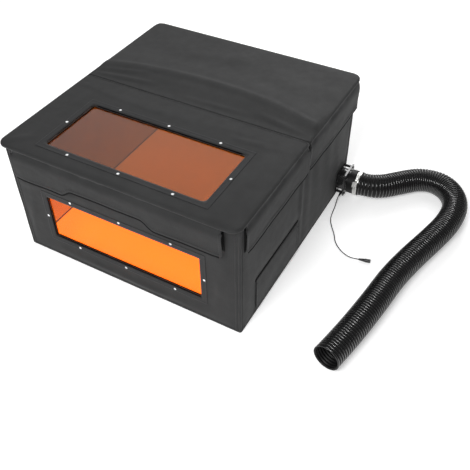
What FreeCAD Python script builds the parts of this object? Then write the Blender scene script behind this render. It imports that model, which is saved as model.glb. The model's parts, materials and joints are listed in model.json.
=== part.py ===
import FreeCAD, Part
import math
import os
import re
import Sketcher
from FreeCAD import Placement, Rotation, Vector

# Folding fabric enclosure for a desktop laser cutter, with its exhaust fan, duct hose and fan lead.
# Millimetres. X runs to the right along the front, Y to the back and Z up.
# The origin is on the table, at the centre of the space that the walls stand round.

DIMENSIONS = {
    # body
    "body_width": 700, "body_depth": 704, "wall_top": 369.7, "binding_height": 3,
    "cover_thick": 1.2, "board_thick": 4, "lining_thick": 0.8,
    "corner_leg": 13, "corner_proud": 0.6, "corner_round": 8,
    "fold_place": 10, "fold_board_gap": 6,
    # lid, in a front half that opens and a rear half that stays
    "lid_width": 710, "lid_front": 372, "lid_rear": 379, "lid_top": 377, "lid_edge_height": 10,
    "lid_edge_width": 4, "lid_round": 28, "lid_board_thick": 4.8, "lid_lining_thick": 1,
    "hinge_place": 6.5, "hinge_gap": 4, "piping_radius": 1.7,
    # windows
    "window_width": 478, "pane_thick": 3, "pane_margin": 22, "retainer_thick": 2,
    "front_window_shift": 3, "front_window_low": 77, "front_window_tall": 145,
    "lid_window_near": 114, "lid_window_deep": 203, "window_slack": 1,
    "rivet_radius": 2, "rivet_head_radius": 4.5, "rivet_head_height": 1.6, "rivet_slack": 0.2,
    "rivet_margin": 11, "rivet_pitch": 157, "rivet_tail": 1.2,
    # skirt flaps
    "flap_thick": 2, "flap_gap": 0.3, "flap_top": 371, "flap_hem": 287, "flap_short_hem": 309,
    "front_flap_reach": 310, "front_step_right": 107, "front_step_left": 139, "front_step_run": 40,
    "flap_step_round": 30, "side_flap_front": 332, "side_flap_rear": 4, "skirt_start": 15,
    "tape_thick": 1, "tape_tall": 20, "tape_long": 60, "tape_place": 250,
    "wall_tape_lift": 12, "flap_tape_lift": 6, "cutter_long": 60,
    # cable port in the right wall
    "port_front": 272, "port_rear": 27, "port_top": 123, "port_flap_low": 14, "port_rim": 11,
    "port_flap_thick": 1.5, "port_gap": 0.3, "port_piping_radius": 1.5, "strip_gap": 0.5,
    # exhaust fan, on the right wall near its rear edge
    "fan_place": 302, "fan_height": 46, "fan_size": 70, "fan_deep": 25, "fan_flange": 3.5,
    "fan_bore_radius": 32.3, "fan_barrel_radius": 34.2, "screw_offset": 30, "screw_radius": 1.9,
    "screw_hole_radius": 2.1, "wall_hole_radius": 31, "inner_plate_size": 82, "inner_plate_thick": 2,
    "adapter_size": 78, "adapter_thick": 4, "collar_outer_radius": 34.3, "collar_inner_radius": 32,
    "collar_long": 38, "boss_wall": 2.2, "motor_cup_radius": 14, "strut_width": 3, "motor_start": 7,
    "hub_radius": 15, "hub_long": 16,
    "hub_start": 2, "hub_wall": 1.6, "blade_reach": 31, "blade_count": 7, "bearing_radius": 4,
    "bearing_width": 3, "near_bearing": 8, "far_bearing": 18, "shaft_radius": 1.5, "shaft_long": 17,
    "shaft_slack": 0.05, "tube_wall": 1.45, "stator_radius": 10.5, "stator_start": 8.5,
    "stator_long": 8, "circuit_radius": 12, "circuit_start": 19, "circuit_thick": 1.2,
    "magnet_thick": 2.15, "plate_lift": 2, "plate_round": 4, "adapter_round": 6,
    # guard, screws and nuts
    "guard_wire": 0.8, "guard_pitch": 10, "guard_reach": 34, "screw_tail": 6, "screw_head": 2.6,
    "slot_deep": 1.2, "slot_wide": 1, "nut_radius": 4, "nut_thick": 3,
    # hose clamp
    "clamp_place": 412, "clamp_wide": 12, "clamp_inner_radius": 37.8, "clamp_thick": 0.8,
    "worm_radius": 3.2, "worm_slack": 0.25, "housing_wide": 14, "housing_long": 16,
    "housing_tall": 9.5, "housing_lift": 1.8, "saddle_gap": 0.15, "saddle_long": 6,
    "worm_end": 1, "worm_head_radius": 4.2, "worm_head_long": 4, "worm_slot_wide": 1.2,
    "worm_slot_deep": 1.8,
    # hose and lead
    "hose_radius": 37.5, "hose_bore_radius": 34.6, "lead_radius": 1.5,
    "relief_long": 16, "relief_wide_radius": 3.6, "relief_tip_radius": 2.1,
    "socket_long": 34, "socket_neck_radius": 2.4, "socket_radius": 5.5, "socket_bore_radius": 2.8,
    "socket_bore_deep": 10,
}

WORM_ANGLE = 150        # degrees round the clamp from +Y towards +Z
SOCKET_TURN = 14        # degrees from +X towards +Y, on the table
CLEAR = 5               # how far a cutting tool runs past the piece it cuts
SCREW_CORNERS = [(-1, -1), (1, -1), (1, 1), (-1, 1)]

# The route of the exhaust hose: straight off the collar, down to the table, round and forwards.
HOSE_ROUTE = [
    (384, 302, 46), (440, 302, 46), (484, 330, 41), (529, 382, 37.5), (572, 422, 37.5),
    (626, 434, 37.5), (676, 408, 37.5), (709, 349, 37.5), (707, 263, 37.5), (682, 166, 37.5),
    (656, 78, 37.5), (634, -17, 37.5), (623, -110, 37.5), (609, -203, 37.5), (595, -279, 37.5),
    (581, -343, 37.5),
]

# The route of the fan lead: out of its strain relief, down to the table and forwards to its socket.
LEAD_ROUTE = [
    (370, 251, 16), (370, 241, 15), (372, 227, 8), (375, 210, 2.2), (378, 183, 1.5),
    (384, 153, 1.5), (401, 124, 1.5), (420, 99, 1.5), (433, 72, 1.5), (456, 49, 1.5),
    (483, 35, 1.5), (503, 32, 2.2), (521, 34, 5.5),
]

doc = FreeCAD.newDocument("laser_enclosure")
nodes = {}


# ---------------------------------------------------------------- document helpers

def make_sheet():
    """Puts the driving dimensions into a spreadsheet, one alias each."""
    sheet = doc.addObject("Spreadsheet::Sheet", "Dims")
    for row, (alias, value) in enumerate(DIMENSIONS.items(), start=1):
        sheet.set(f"A{row}", alias)
        sheet.set(f"B{row}", str(value))
        sheet.setAlias(f"B{row}", alias)
    doc.recompute()
    return sheet


def formula(text):
    """Writes an expression with the sheet's name in front of each dimension."""
    def prefix(match):
        word = match.group(0)
        return f"Dims.{word}" if word in DIMENSIONS else word
    return re.sub(r"[a-z_]+", prefix, str(text))


def bind(thing, **sizes):
    """Binds properties to expressions of the driving dimensions."""
    for name, text in sizes.items():
        thing.setExpression(name, formula(text))


def place(thing, corner, rotation=None):
    """Places a thing by three expressions, after a fixed rotation."""
    if rotation is not None:
        thing.Placement = Placement(Vector(), rotation)
    for axis, text in zip("xyz", corner):
        thing.setExpression(f"Placement.Base.{axis}", formula(text))


def box(label, size, corner):
    """A box from its size and lowest corner."""
    piece = doc.addObject("Part::Box", label)
    piece.Label = label
    bind(piece, Length=size[0], Width=size[1], Height=size[2])
    place(piece, corner)
    return piece


TURN = {
    "x": Rotation(Vector(0, 0, 1), Vector(1, 0, 0)),
    "-y": Rotation(Vector(0, 0, 1), Vector(0, -1, 0)),
    "y": Rotation(Vector(0, 0, 1), Vector(0, 1, 0)),
    "z": Rotation(),
}


def cylinder(label, radius, length, start, axis):
    """A cylinder from the centre of its first end, along x, y, -y or z."""
    piece = doc.addObject("Part::Cylinder", label)
    piece.Label = label
    bind(piece, Radius=radius, Height=length)
    place(piece, start, TURN[axis])
    return piece


def cut(label, base, *tools):
    """Takes one or more tools out of a piece."""
    piece = base
    for number, tool in enumerate(tools):
        step = doc.addObject("Part::Cut", f"{label}_cut{number}")
        step.Base = piece
        step.Tool = tool
        piece = step
    piece.Label = label
    return piece


def fuse(label, pieces):
    """Joins pieces that touch into one solid."""
    piece = doc.addObject("Part::MultiFuse", label)
    piece.Label = label
    piece.Shapes = pieces
    piece.Refine = True
    return piece


def group(label, pieces):
    """Keeps separate solids together as one sub-part."""
    piece = doc.addObject("Part::Compound", label)
    piece.Label = label
    piece.Links = pieces
    return piece


def mirror(label, source, normal):
    """The mirror image of a piece in a plane through the origin."""
    piece = doc.addObject("Part::Mirroring", label)
    piece.Label = label
    piece.Source = source
    piece.Base = Vector()
    piece.Normal = normal
    return piece


def node(piece, name=None):
    """Marks a piece as a sub-part with a file of its own."""
    name = name or piece.Label
    piece.Label = name
    nodes[name] = piece
    return piece


# ---------------------------------------------------------------- sketch and feature helpers

def new_body(label, corner=(0, 0, 0), rotation=None):
    body = doc.addObject("PartDesign::Body", label)
    body.Label = label
    place(body, corner, rotation)
    return body


def origin_plane(body, role):
    return next(item for item in body.Origin.OriginFeatures if item.Role == role)


def new_sketch(body, role):
    sketch = body.newObject("Sketcher::SketchObject", f"{body.Name}_sketch")
    sketch.AttachmentSupport = [(origin_plane(body, role), "")]
    sketch.MapMode = "FlatFace"
    return sketch


def fix_point(sketch, geometry, end, x, y):
    """Ties a point to distances from the sketch's origin, each an expression or 0."""
    for kind, text, axis in (("DistanceX", x, -2), ("DistanceY", y, -1)):
        if str(text) == "0":
            sketch.addConstraint(Sketcher.Constraint("PointOnObject", geometry, end, axis))
            continue
        number = sketch.addConstraint(Sketcher.Constraint(kind, -1, 1, geometry, end, 1.0))
        sketch.setExpression(f"Constraints[{number}]", formula(text))


def outline(sketch, corners):
    """A closed outline of straight lines through corners given as expressions, first guesses beside."""
    guesses = [guess for guess, _, _ in corners]
    first = sketch.GeometryCount
    count = len(corners)
    for number in range(count):
        start = Vector(*guesses[number], 0)
        end = Vector(*guesses[(number + 1) % count], 0)
        sketch.addGeometry(Part.LineSegment(start, end), False)
    for number in range(count):
        follower = first + (number + 1) % count
        sketch.addConstraint(Sketcher.Constraint("Coincident", first + number, 2, follower, 1))
    for number, (_, x, y) in enumerate(corners):
        fix_point(sketch, first + number, 1, x, y)


def rectangle(sketch, x, y, wide, tall, guess=(10, 10, 100, 50)):
    """A rectangle from its lowest corner and its size, all expressions."""
    gx, gy, gw, gt = guess
    right = wide if str(x) == "0" else f"{x} + {wide}"
    top = tall if str(y) == "0" else f"{y} + {tall}"
    outline(sketch, [((gx, gy), x, y), ((gx + gw, gy), right, y),
                     ((gx + gw, gy + gt), right, top), ((gx, gy + gt), x, top)])


def circle(sketch, x, y, radius, guess=(0, 0)):
    """A circle from its centre and radius, all expressions."""
    number = sketch.addGeometry(Part.Circle(Vector(*guess, 0), Vector(0, 0, 1), 5), False)
    if str(x) == "0" and str(y) == "0":
        sketch.addConstraint(Sketcher.Constraint("Coincident", number, 3, -1, 1))
    else:
        fix_point(sketch, number, 3, x, y)
    bound = sketch.addConstraint(Sketcher.Constraint("Radius", number, 5.0))
    sketch.setExpression(f"Constraints[{bound}]", formula(radius))


def pad(body, sketch, length, backwards=False):
    """Pads a sketch along its normal, or against it."""
    feature = body.newObject("PartDesign::Pad", f"{body.Name}_pad")
    feature.Profile = sketch
    feature.Reversed = backwards
    bind(feature, Length=length)
    sketch.Visibility = False
    doc.recompute()
    return feature


def revolve(body, sketch, axis="V_Axis"):
    """Turns a half section round one of its sketch's axes."""
    feature = body.newObject("PartDesign::Revolution", f"{body.Name}_turn")
    feature.Profile = sketch
    feature.ReferenceAxis = (sketch, [axis])
    feature.Angle = 360
    doc.recompute()
    return feature


def edges_along(feature, direction, keep):
    """Names of the straight edges that run along a direction and pass the test on their middle."""
    names = []
    for number, edge in enumerate(feature.Shape.Edges, start=1):
        if not isinstance(edge.Curve, Part.Line):
            continue
        if abs(abs(edge.Curve.Direction.dot(direction)) - 1) < 1e-6 and keep(edge.CenterOfMass):
            names.append(f"Edge{number}")
    return names


def round_edges(body, feature, names, radius):
    """Fillets named edges of a body's last feature."""
    fillet = body.newObject("PartDesign::Fillet", f"{body.Name}_fillet")
    fillet.Base = (feature, names)
    bind(fillet, Radius=radius)
    doc.recompute()
    return fillet


def turned(label, profile, start, rotation):
    """A turned piece: corners as (radius, height) with their expressions, round its own Z axis."""
    body = new_body(label, start, rotation)
    sketch = new_sketch(body, "XZ_Plane")
    outline(sketch, profile)
    revolve(body, sketch)
    return body


def ring(label, inner, outer, length, start, axis="x"):
    """A plain ring: a tube of rectangular section."""
    body = new_body(label, start, TURN[axis])
    sketch = new_sketch(body, "XY_Plane")
    circle(sketch, 0, 0, outer)
    circle(sketch, 0, 0, inner)
    pad(body, sketch, length)
    return body


# ---------------------------------------------------------------- walls

INNER_X = "(body_width/2 - cover_thick - board_thick - lining_thick)"
INNER_Y = "(body_depth/2 - cover_thick - board_thick - lining_thick)"
PANEL_X = "(body_width/2 - corner_leg)"
PANEL_Y = "(body_depth/2 - corner_leg)"
PANEL_TALL = "(wall_top - 2*binding_height)"


def layer_box(label, side, depth, thick):
    """One flat layer of a wall. side is front, back, left or right; depth is how far it lies in."""
    if side in ("front", "back"):
        near = f"-body_depth/2 + {depth}" if side == "front" else f"body_depth/2 - {depth} - {thick}"
        return box(label, (f"2*{PANEL_X}", thick, PANEL_TALL), (f"-{PANEL_X}", near, "binding_height"))
    near = f"-body_width/2 + {depth}" if side == "left" else f"body_width/2 - {depth} - {thick}"
    return box(label, (thick, f"2*{PANEL_Y}", PANEL_TALL), (near, f"-{PANEL_Y}", "binding_height"))


def side_board(side, label, near, far, low="binding_height", high=f"binding_height + {PANEL_TALL}"):
    """A stiffener board in a side wall, from its front and rear edges and its lower and upper edges."""
    x = "-body_width/2 + cover_thick" if side == "left" else "body_width/2 - cover_thick - board_thick"
    return box(label, ("board_thick", f"({far}) - ({near})", f"({high}) - ({low})"), (x, near, low))


FRONT_BOARD = (f"-{PANEL_Y}", "fold_place - fold_board_gap/2")
REAR_BOARD = ("fold_place + fold_board_gap/2", PANEL_Y)


def port_boards():
    """The right wall's front board, in four strips with the cable port between them."""
    front, rear = FRONT_BOARD
    port_front = "-port_front + port_rim"
    port_rear = "-port_rear - port_rim"
    port_low = "port_flap_low + port_rim"
    port_high = "port_top - port_rim"
    beside = f"{port_high} - strip_gap"
    strips = [side_board("right", "strip_above_port", front, rear, port_high),
              side_board("right", "strip_before_port", front, port_front, high=beside),
              side_board("right", "strip_behind_port", port_rear, rear, high=beside),
              side_board("right", "strip_below_port", f"{port_front} + strip_gap",
                         f"{port_rear} - strip_gap", high=port_low)]
    return group("right_wall_front_board", strips)


def rivet_spots():
    """Places of a window's eight rivets from its centre, as expressions across and up."""
    rows = []
    for across in ("-rivet_pitch", "0", "rivet_pitch"):
        rows.append((across, 1))
        rows.append((across, -1))
    return rows


def window_rivets(window):
    """Eight rivets and the holes they go through, for the front window or the lid's."""
    tall = "front_window_tall" if window == "front" else "lid_window_deep"
    rivets = []
    holes = []
    spots = [(across, f"{way}*({tall}/2 + rivet_margin)") for across, way in rivet_spots()]
    spots += [(f"{way}*(window_width/2 + rivet_margin)", "0") for way in (-1, 1)]
    if window == "front":
        grip = "(cover_thick + board_thick + pane_thick + retainer_thick)"
    else:
        grip = "(cover_thick + lid_board_thick + pane_thick + retainer_thick)"
    head = "rivet_head_radius"
    profile = [((0, 2), "0", "rivet_head_height"), ((2, 2), f"{head}/2", "rivet_head_height"),
               ((4, 1), head, "rivet_head_height/4"), ((4, 0), head, "0"),
               ((2, 0), "rivet_radius", "0"), ((2, -9), "rivet_radius", f"-{grip}"),
               ((4, -9), f"{head}*0.8", f"-{grip}"),
               ((4, -11), f"{head}*0.8", f"-({grip} + rivet_tail)"),
               ((0, -11), "0", f"-({grip} + rivet_tail)")]
    for number, (across, up) in enumerate(spots):
        if window == "front":
            spot = (f"{across} - front_window_shift", "-body_depth/2",
                    f"front_window_low + {tall}/2 + {up}")
            inward = f"{spot[1]} - {CLEAR}"
            hole_start = (spot[0], inward, spot[2])
            turn, way = TURN["-y"], "y"
        else:
            spot = (across, f"-lid_window_near - {tall}/2 + {up}", "lid_top")
            hole_start = (spot[0], spot[1], f"lid_top - {grip} - {CLEAR}")
            turn, way = TURN["z"], "z"
        rivets.append(turned(f"{window}_rivet{number}", profile, spot, turn))
        holes.append(cylinder(f"{window}_rivet_hole{number}", "rivet_radius + rivet_slack",
                              f"{grip} + {2 * CLEAR}", hole_start, way))
    return group(f"{window}_window_rivets", rivets), group(f"{window}_rivet_holes", holes)


def front_wall():
    """The front wall with its window."""
    rivets, holes = window_rivets("front")
    low = "front_window_low"
    left = "-window_width/2 - front_window_shift"

    def opening(label, margin):
        size = (f"window_width + 2*({margin})", "cutter_long", f"front_window_tall + 2*({margin})")
        corner = (f"{left} - ({margin})", "-body_depth/2 - cutter_long/2", f"{low} - ({margin})")
        return box(label, size, corner)

    window = opening("front_window_hole", 0)
    pocket = opening("front_pane_pocket", "pane_margin + window_slack")
    cover = layer_box("front_cover_sheet", "front", "0", "cover_thick")
    board = layer_box("front_board_sheet", "front", "cover_thick", "board_thick")
    lining = layer_box("front_lining_sheet", "front", "(cover_thick + board_thick)", "lining_thick")
    node(cut("front_wall_cover", cover, window, holes))
    node(cut("front_wall_board", board, window, holes))
    node(cut("front_wall_lining", lining, pocket))

    def slab(label, thick, depth):
        return box(label, ("window_width + 2*pane_margin", thick, "front_window_tall + 2*pane_margin"),
                   (f"{left} - pane_margin", f"-body_depth/2 + {depth}", f"{low} - pane_margin"))

    pane = slab("front_pane_sheet", "pane_thick", "cover_thick + board_thick")
    retainer = slab("front_retainer_sheet", "retainer_thick", "cover_thick + board_thick + pane_thick")
    node(cut("front_window_pane", pane, holes))
    node(cut("front_window_retainer", retainer, window, holes))
    node(rivets)


def back_wall():
    """The plain back wall."""
    node(layer_box("back_wall_cover", "back", "0", "cover_thick"))
    node(layer_box("back_wall_board", "back", "cover_thick", "board_thick"))
    node(layer_box("back_wall_lining", "back", "(cover_thick + board_thick)", "lining_thick"))


def left_wall():
    """The left wall, which folds between its two boards."""
    node(layer_box("left_wall_cover", "left", "0", "cover_thick"))
    node(side_board("left", "left_wall_front_board", *FRONT_BOARD))
    node(side_board("left", "left_wall_rear_board", *REAR_BOARD))
    node(layer_box("left_wall_lining", "left", "(cover_thick + board_thick)", "lining_thick"))


def fan_holes(start, length):
    """Tools for the fan's bore and its four screws through the wall side of the assembly."""
    bore = cylinder("fan_wall_bore", "wall_hole_radius", length, (start, "fan_place", "fan_height"), "x")
    screws = [cylinder(f"fan_wall_screw_hole{number}", "screw_hole_radius", length,
                       (start, f"fan_place + {dy}*screw_offset", f"fan_height + {dz}*screw_offset"), "x")
              for number, (dy, dz) in enumerate(SCREW_CORNERS)]
    return group("fan_wall_holes", [bore] + screws)


def right_wall():
    """The right wall with its cable port and the fan's hole."""
    port = box("port_hole", ("cutter_long", "port_front - port_rear - 2*port_rim",
                             "port_top - port_flap_low - 2*port_rim"),
               ("body_width/2 - cutter_long/2", "-port_front + port_rim", "port_flap_low + port_rim"))
    holes = fan_holes("body_width/2 - cutter_long/2", "cutter_long")
    cover = layer_box("right_cover_sheet", "right", "0", "cover_thick")
    lining = layer_box("right_lining_sheet", "right", "(cover_thick + board_thick)", "lining_thick")
    rear = side_board("right", "right_rear_panel", *REAR_BOARD)
    node(cut("right_wall_cover", cover, port, holes))
    node(cut("right_wall_lining", lining, port, holes))
    node(port_boards())
    node(cut("right_wall_rear_board", rear, holes))
    node(cut("fan_inner_plate",
             box("inner_plate_sheet", ("inner_plate_thick", "inner_plate_size", "inner_plate_size"),
                 (f"{INNER_X} - inner_plate_thick", "fan_place - inner_plate_size/2",
                  "fan_height - inner_plate_size/2 + plate_lift")), holes))


def corner_bindings():
    """Four sewn corner bindings, each an L with a rounded outer edge, mirrored from the rear right one."""
    body = new_body("rear_right_binding", (PANEL_X, PANEL_Y, "binding_height"))
    sketch = new_sketch(body, "XY_Plane")
    proud = "(corner_leg + corner_proud)"
    inner_x = f"({INNER_X} - {PANEL_X})"
    inner_y = f"({INNER_Y} - {PANEL_Y})"
    outline(sketch, [((0, 7), "0", inner_y), ((7, 7), inner_x, inner_y), ((7, 0), inner_x, "0"),
                     ((13, 0), proud, "0"), ((13, 13), proud, proud), ((0, 13), "0", proud)])
    last = pad(body, sketch, PANEL_TALL)
    reach = DIMENSIONS["corner_leg"] + DIMENSIONS["corner_proud"]
    outer = edges_along(last, Vector(0, 0, 1), lambda p: p.x > reach - 1 and p.y > reach - 1)
    round_edges(body, last, outer, "corner_round")
    rear_left = mirror("rear_left_binding", body, Vector(1, 0, 0))
    front_right = mirror("front_right_binding", body, Vector(0, 1, 0))
    front_left = mirror("front_left_binding", rear_left, Vector(0, 1, 0))
    node(group("corner_bindings", [body, rear_left, front_right, front_left]))


def wall_ring(label, height):
    """A binding all the way round the top or the bottom of the walls."""
    outer_x = "(body_width/2 + corner_proud)"
    outer_y = "(body_depth/2 + corner_proud)"
    body = new_body(label, (f"-{outer_x}", f"-{outer_y}", height))
    sketch = new_sketch(body, "XY_Plane")
    rectangle(sketch, "0", "0", f"2*{outer_x}", f"2*{outer_y}", (0, 0, 700, 704))
    rectangle(sketch, f"({outer_x} - {INNER_X})", f"({outer_y} - {INNER_Y})",
              f"2*{INNER_X}", f"2*{INNER_Y}", (7, 7, 686, 690))
    last = pad(body, sketch, "binding_height")
    size = DIMENSIONS["body_width"]
    outer = edges_along(last, Vector(0, 0, 1), lambda p: (p.x < 1 or p.x > size) and (p.y < 1 or p.y > size))
    round_edges(body, last, outer, "corner_round")
    return node(body)


def wall_tapes():
    """Loop tapes on the walls that the skirt flaps' tapes press onto."""
    up = "flap_hem + wall_tape_lift"
    tapes = []
    for side in (-1, 1):
        tapes.append(box(f"front_wall_tape{side}", ("tape_long", "tape_thick", "tape_tall"),
                         (f"{side}*tape_place - tape_long/2", "-body_depth/2 - tape_thick", up)))
        across = "body_width/2" if side > 0 else "-body_width/2 - tape_thick"
        tapes.append(box(f"side_wall_tape{side}", ("tape_thick", "tape_long", "tape_tall"),
                         (across, "-side_flap_front/2 - tape_long/2", up)))
    node(group("wall_loop_tapes", tapes))


# ---------------------------------------------------------------- lid

def lid_slab(label, half, inset, low, thick, holes=()):
    """A layer of one lid half, inset from the lid's edge, with its outer corners rounded."""
    reach = f"(lid_{half} - {inset})"
    inner = "hinge_place - hinge_gap/2" if half == "front" else "hinge_place + hinge_gap/2"
    length = f"({reach} + {inner})" if half == "front" else f"({reach} - ({inner}))"
    start = f"-{reach}" if half == "front" else inner
    body = new_body(label, (f"-lid_width/2 + {inset}", start, low))
    sketch = new_sketch(body, "XY_Plane")
    rectangle(sketch, "0", "0", f"(lid_width - 2*({inset}))", length, (0, 0, 700, 370))
    last = pad(body, sketch, thick)
    middle = 150
    outer = edges_along(last, Vector(0, 0, 1),
                        lambda p: p.y < middle if half == "front" else p.y > middle)
    round_edges(body, last, outer, f"lid_round - {inset}")
    return body


def lid_half(half):
    """Cover, board, lining and edge binding of a lid half, before any window is cut."""
    under = "(lid_top - cover_thick - lid_board_thick)"
    cover = lid_slab(f"{half}_lid_cover_sheet", half, "lid_edge_width", "lid_top - cover_thick",
                     "cover_thick")
    board = lid_slab(f"{half}_lid_board_sheet", half, "lid_edge_width", under, "lid_board_thick")
    lining = lid_slab(f"{half}_lid_lining_sheet", half, "lid_edge_width",
                      f"{under} - lid_lining_thick", "lid_lining_thick")
    edge = lid_slab(f"{half}_lid_edge_block", half, "0", "lid_top - lid_edge_height", "lid_edge_height")
    core = lid_slab(f"{half}_lid_edge_core", half, "lid_edge_width", "lid_top - lid_edge_height",
                    "lid_edge_height")
    node(cut(f"{half}_lid_binding", edge, core))
    return cover, board, lining


def front_lid():
    """The half of the lid that opens, with its window."""
    cover, board, lining = lid_half("front")
    rivets, holes = window_rivets("lid")
    under = "(lid_top - cover_thick - lid_board_thick)"

    def slab(label, margin, low, thick):
        return box(label, (f"window_width + 2*({margin})", f"lid_window_deep + 2*({margin})", thick),
                   (f"-window_width/2 - ({margin})", f"-lid_window_near - lid_window_deep - ({margin})",
                    low))

    window = slab("lid_window_hole", 0, "lid_top - cutter_long/2", "cutter_long")
    pocket = slab("lid_pane_pocket", "pane_margin + window_slack", "lid_top - cutter_long/2",
                  "cutter_long")
    pane = slab("lid_pane_sheet", "pane_margin", f"{under} - pane_thick", "pane_thick")
    retainer = slab("lid_retainer_sheet", "pane_margin", f"{under} - pane_thick - retainer_thick",
                    "retainer_thick")
    node(cut("front_lid_cover", cover, window, holes))
    node(cut("front_lid_board", board, window, holes))
    node(cut("front_lid_lining", lining, pocket))
    node(cut("lid_window_pane", pane, holes))
    node(cut("lid_window_retainer", retainer, window, holes))
    node(rivets)


def rear_lid():
    """The half of the lid that stays on the body, and the piping along the fold."""
    for piece, name in zip(lid_half("rear"), ("cover", "board", "lining")):
        node(piece, f"rear_lid_{name}")
    node(cylinder("fold_piping", "piping_radius", "lid_width - 2*lid_edge_width",
                  ("-lid_width/2 + lid_edge_width", "hinge_place", "lid_top - 1.5*piping_radius"), "x"))


# ---------------------------------------------------------------- skirt

def front_flap():
    """The loose front flap: its hem is deep at both ends and shallower between."""
    body = new_body("front_flap", ("-front_flap_reach", "-lid_front - flap_gap", "flap_hem"))
    sketch = new_sketch(body, "XZ_Plane")
    reach = "front_flap_reach"
    step = "(flap_short_hem - flap_hem)"
    tall = "(flap_top - flap_hem)"
    left = f"({reach} - front_step_left)"
    right = f"({reach} + front_step_right)"
    half_run = "front_step_run/2"
    outline(sketch, [((0, 0), "0", "0"), ((150, 0), f"{left} - {half_run}", "0"),
                     ((190, 22), f"{left} + {half_run}", step),
                     ((400, 22), f"{right} - {half_run}", step),
                     ((440, 0), f"{right} + {half_run}", "0"),
                     ((620, 0), f"2*{reach}", "0"), ((620, 84), f"2*{reach}", tall),
                     ((0, 84), "0", tall)])
    last = pad(body, sketch, "flap_thick")
    limit = DIMENSIONS["front_flap_reach"]
    bends = edges_along(last, Vector(0, 1, 0),
                        lambda p: 1 < p.x < 2 * limit - 1 and p.z < 60)
    round_edges(body, last, bends, "flap_step_round")
    node(body)
    tapes = [box(f"front_flap_tape{side}", ("tape_long", "tape_thick", "tape_tall"),
                 (f"{side}*tape_place - tape_long/2", "-lid_front - flap_gap", "flap_hem + flap_tape_lift"))
             for side in (-1, 1)]
    node(group("front_flap_hook_tapes", tapes))


def side_flap(side):
    """The loose flap along one side of the front lid half."""
    near = "lid_width/2 + flap_gap" if side == "right" else "-lid_width/2 - flap_gap - flap_thick"
    node(box(f"{side}_flap", ("flap_thick", "side_flap_front + side_flap_rear", "flap_top - flap_hem"),
             (near, "-side_flap_front", "flap_hem")))


def rear_skirt():
    """The skirt of the rear lid half, which wraps both rear corners."""
    solids = []
    for label, proud in (("skirt_outside", "flap_gap + flap_thick"), ("skirt_inside", "flap_gap")):
        body = new_body(label, (f"-lid_width/2 - ({proud})", "skirt_start", "flap_hem"))
        sketch = new_sketch(body, "XY_Plane")
        rectangle(sketch, "0", "0", f"(lid_width + 2*({proud}))", f"(lid_rear - skirt_start + {proud})",
                  (0, 0, 714, 366))
        last = pad(body, sketch, "flap_top - flap_hem")
        corners = edges_along(last, Vector(0, 0, 1), lambda p: p.y > 100)
        round_edges(body, last, corners, f"lid_round + {proud}")
        solids.append(body)
    node(cut("rear_skirt", *solids))


# ---------------------------------------------------------------- cable port

def cable_port():
    """The flap that hangs over the cable port, and the piping that it is sewn to."""
    outside = "body_width/2 + port_gap"
    node(box("port_flap", ("port_flap_thick", "port_front - port_rear", "port_top - port_flap_low"),
             (outside, "-port_front", "port_flap_low")))
    node(cylinder("port_hinge_piping", "port_piping_radius", "port_front - port_rear",
                  ("body_width/2 + port_piping_radius", "-port_front",
                   "port_top + port_piping_radius + port_gap"), "y"))


# ---------------------------------------------------------------- fan

FAN_START = "body_width/2"


def at_fan(offset):
    """A point on the fan's axis, a distance out from the wall."""
    return (f"{FAN_START} + {offset}", "fan_place", "fan_height")


def rounded_plate(label, size, thick, offset, hole, radius):
    """A square plate across the fan's axis, with a round hole, four screw holes and rounded corners."""
    body = new_body(label, (f"{FAN_START} + {offset}", f"fan_place - {size}/2", f"fan_height - {size}/2"))
    sketch = new_sketch(body, "YZ_Plane")
    rectangle(sketch, "0", "0", size, size, (0, 0, 70, 70))
    circle(sketch, f"{size}/2", f"{size}/2", hole, (35, 35))
    for dy, dz in SCREW_CORNERS:
        circle(sketch, f"({size}/2 + {dy}*screw_offset)", f"({size}/2 + {dz}*screw_offset)",
               "screw_hole_radius", (35 + 30 * dy, 35 + 30 * dz))
    last = pad(body, sketch, thick)
    wide = DIMENSIONS[size]
    corners = edges_along(last, Vector(1, 0, 0),
                          lambda p: min(p.y, wide - p.y) < 1 and min(p.z, wide - p.z) < 1)
    round_edges(body, last, corners, radius)
    return body


def fan_frame():
    """The fan's frame: two square flanges, a round barrel, corner bosses, struts and the motor cup."""
    near = rounded_plate("fan_near_flange", "fan_size", "fan_flange", "0", "fan_bore_radius",
                         "plate_round")
    far = rounded_plate("fan_far_flange", "fan_size", "fan_flange", "fan_deep - fan_flange",
                        "fan_bore_radius", "plate_round")
    barrel = ring("fan_barrel", "fan_bore_radius", "fan_barrel_radius", "fan_deep", at_fan("0"))
    bosses = [ring(f"fan_boss{number}", "screw_hole_radius", "screw_hole_radius + boss_wall", "fan_deep",
                   (FAN_START, f"fan_place + {dy}*screw_offset", f"fan_height + {dz}*screw_offset"))
              for number, (dy, dz) in enumerate(SCREW_CORNERS)]
    cup = cylinder("fan_cup_disc", "motor_cup_radius", "fan_flange", at_fan("fan_deep - fan_flange"), "x")
    tube_outer = cylinder("fan_tube_outside", "bearing_radius + shaft_slack + tube_wall",
                          "fan_deep - motor_start", at_fan("motor_start"), "x")
    tube_bore = cylinder("fan_tube_bore", "bearing_radius + shaft_slack",
                         "fan_deep - motor_start - fan_flange", at_fan("motor_start"), "x")
    long = "(fan_bore_radius + 1)"
    struts = [box("fan_strut_level", ("fan_flange", f"2*{long}", "strut_width"),
                  (f"{FAN_START} + fan_deep - fan_flange", f"fan_place - {long}",
                   "fan_height - strut_width/2")),
              box("fan_strut_upright", ("fan_flange", "strut_width", f"2*{long}"),
                  (f"{FAN_START} + fan_deep - fan_flange", "fan_place - strut_width/2",
                   f"fan_height - {long}"))]
    whole = fuse("fan_frame_blank", [near, far, barrel, cup, tube_outer] + struts + bosses)
    node(cut("fan_frame", whole, tube_bore))


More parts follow.
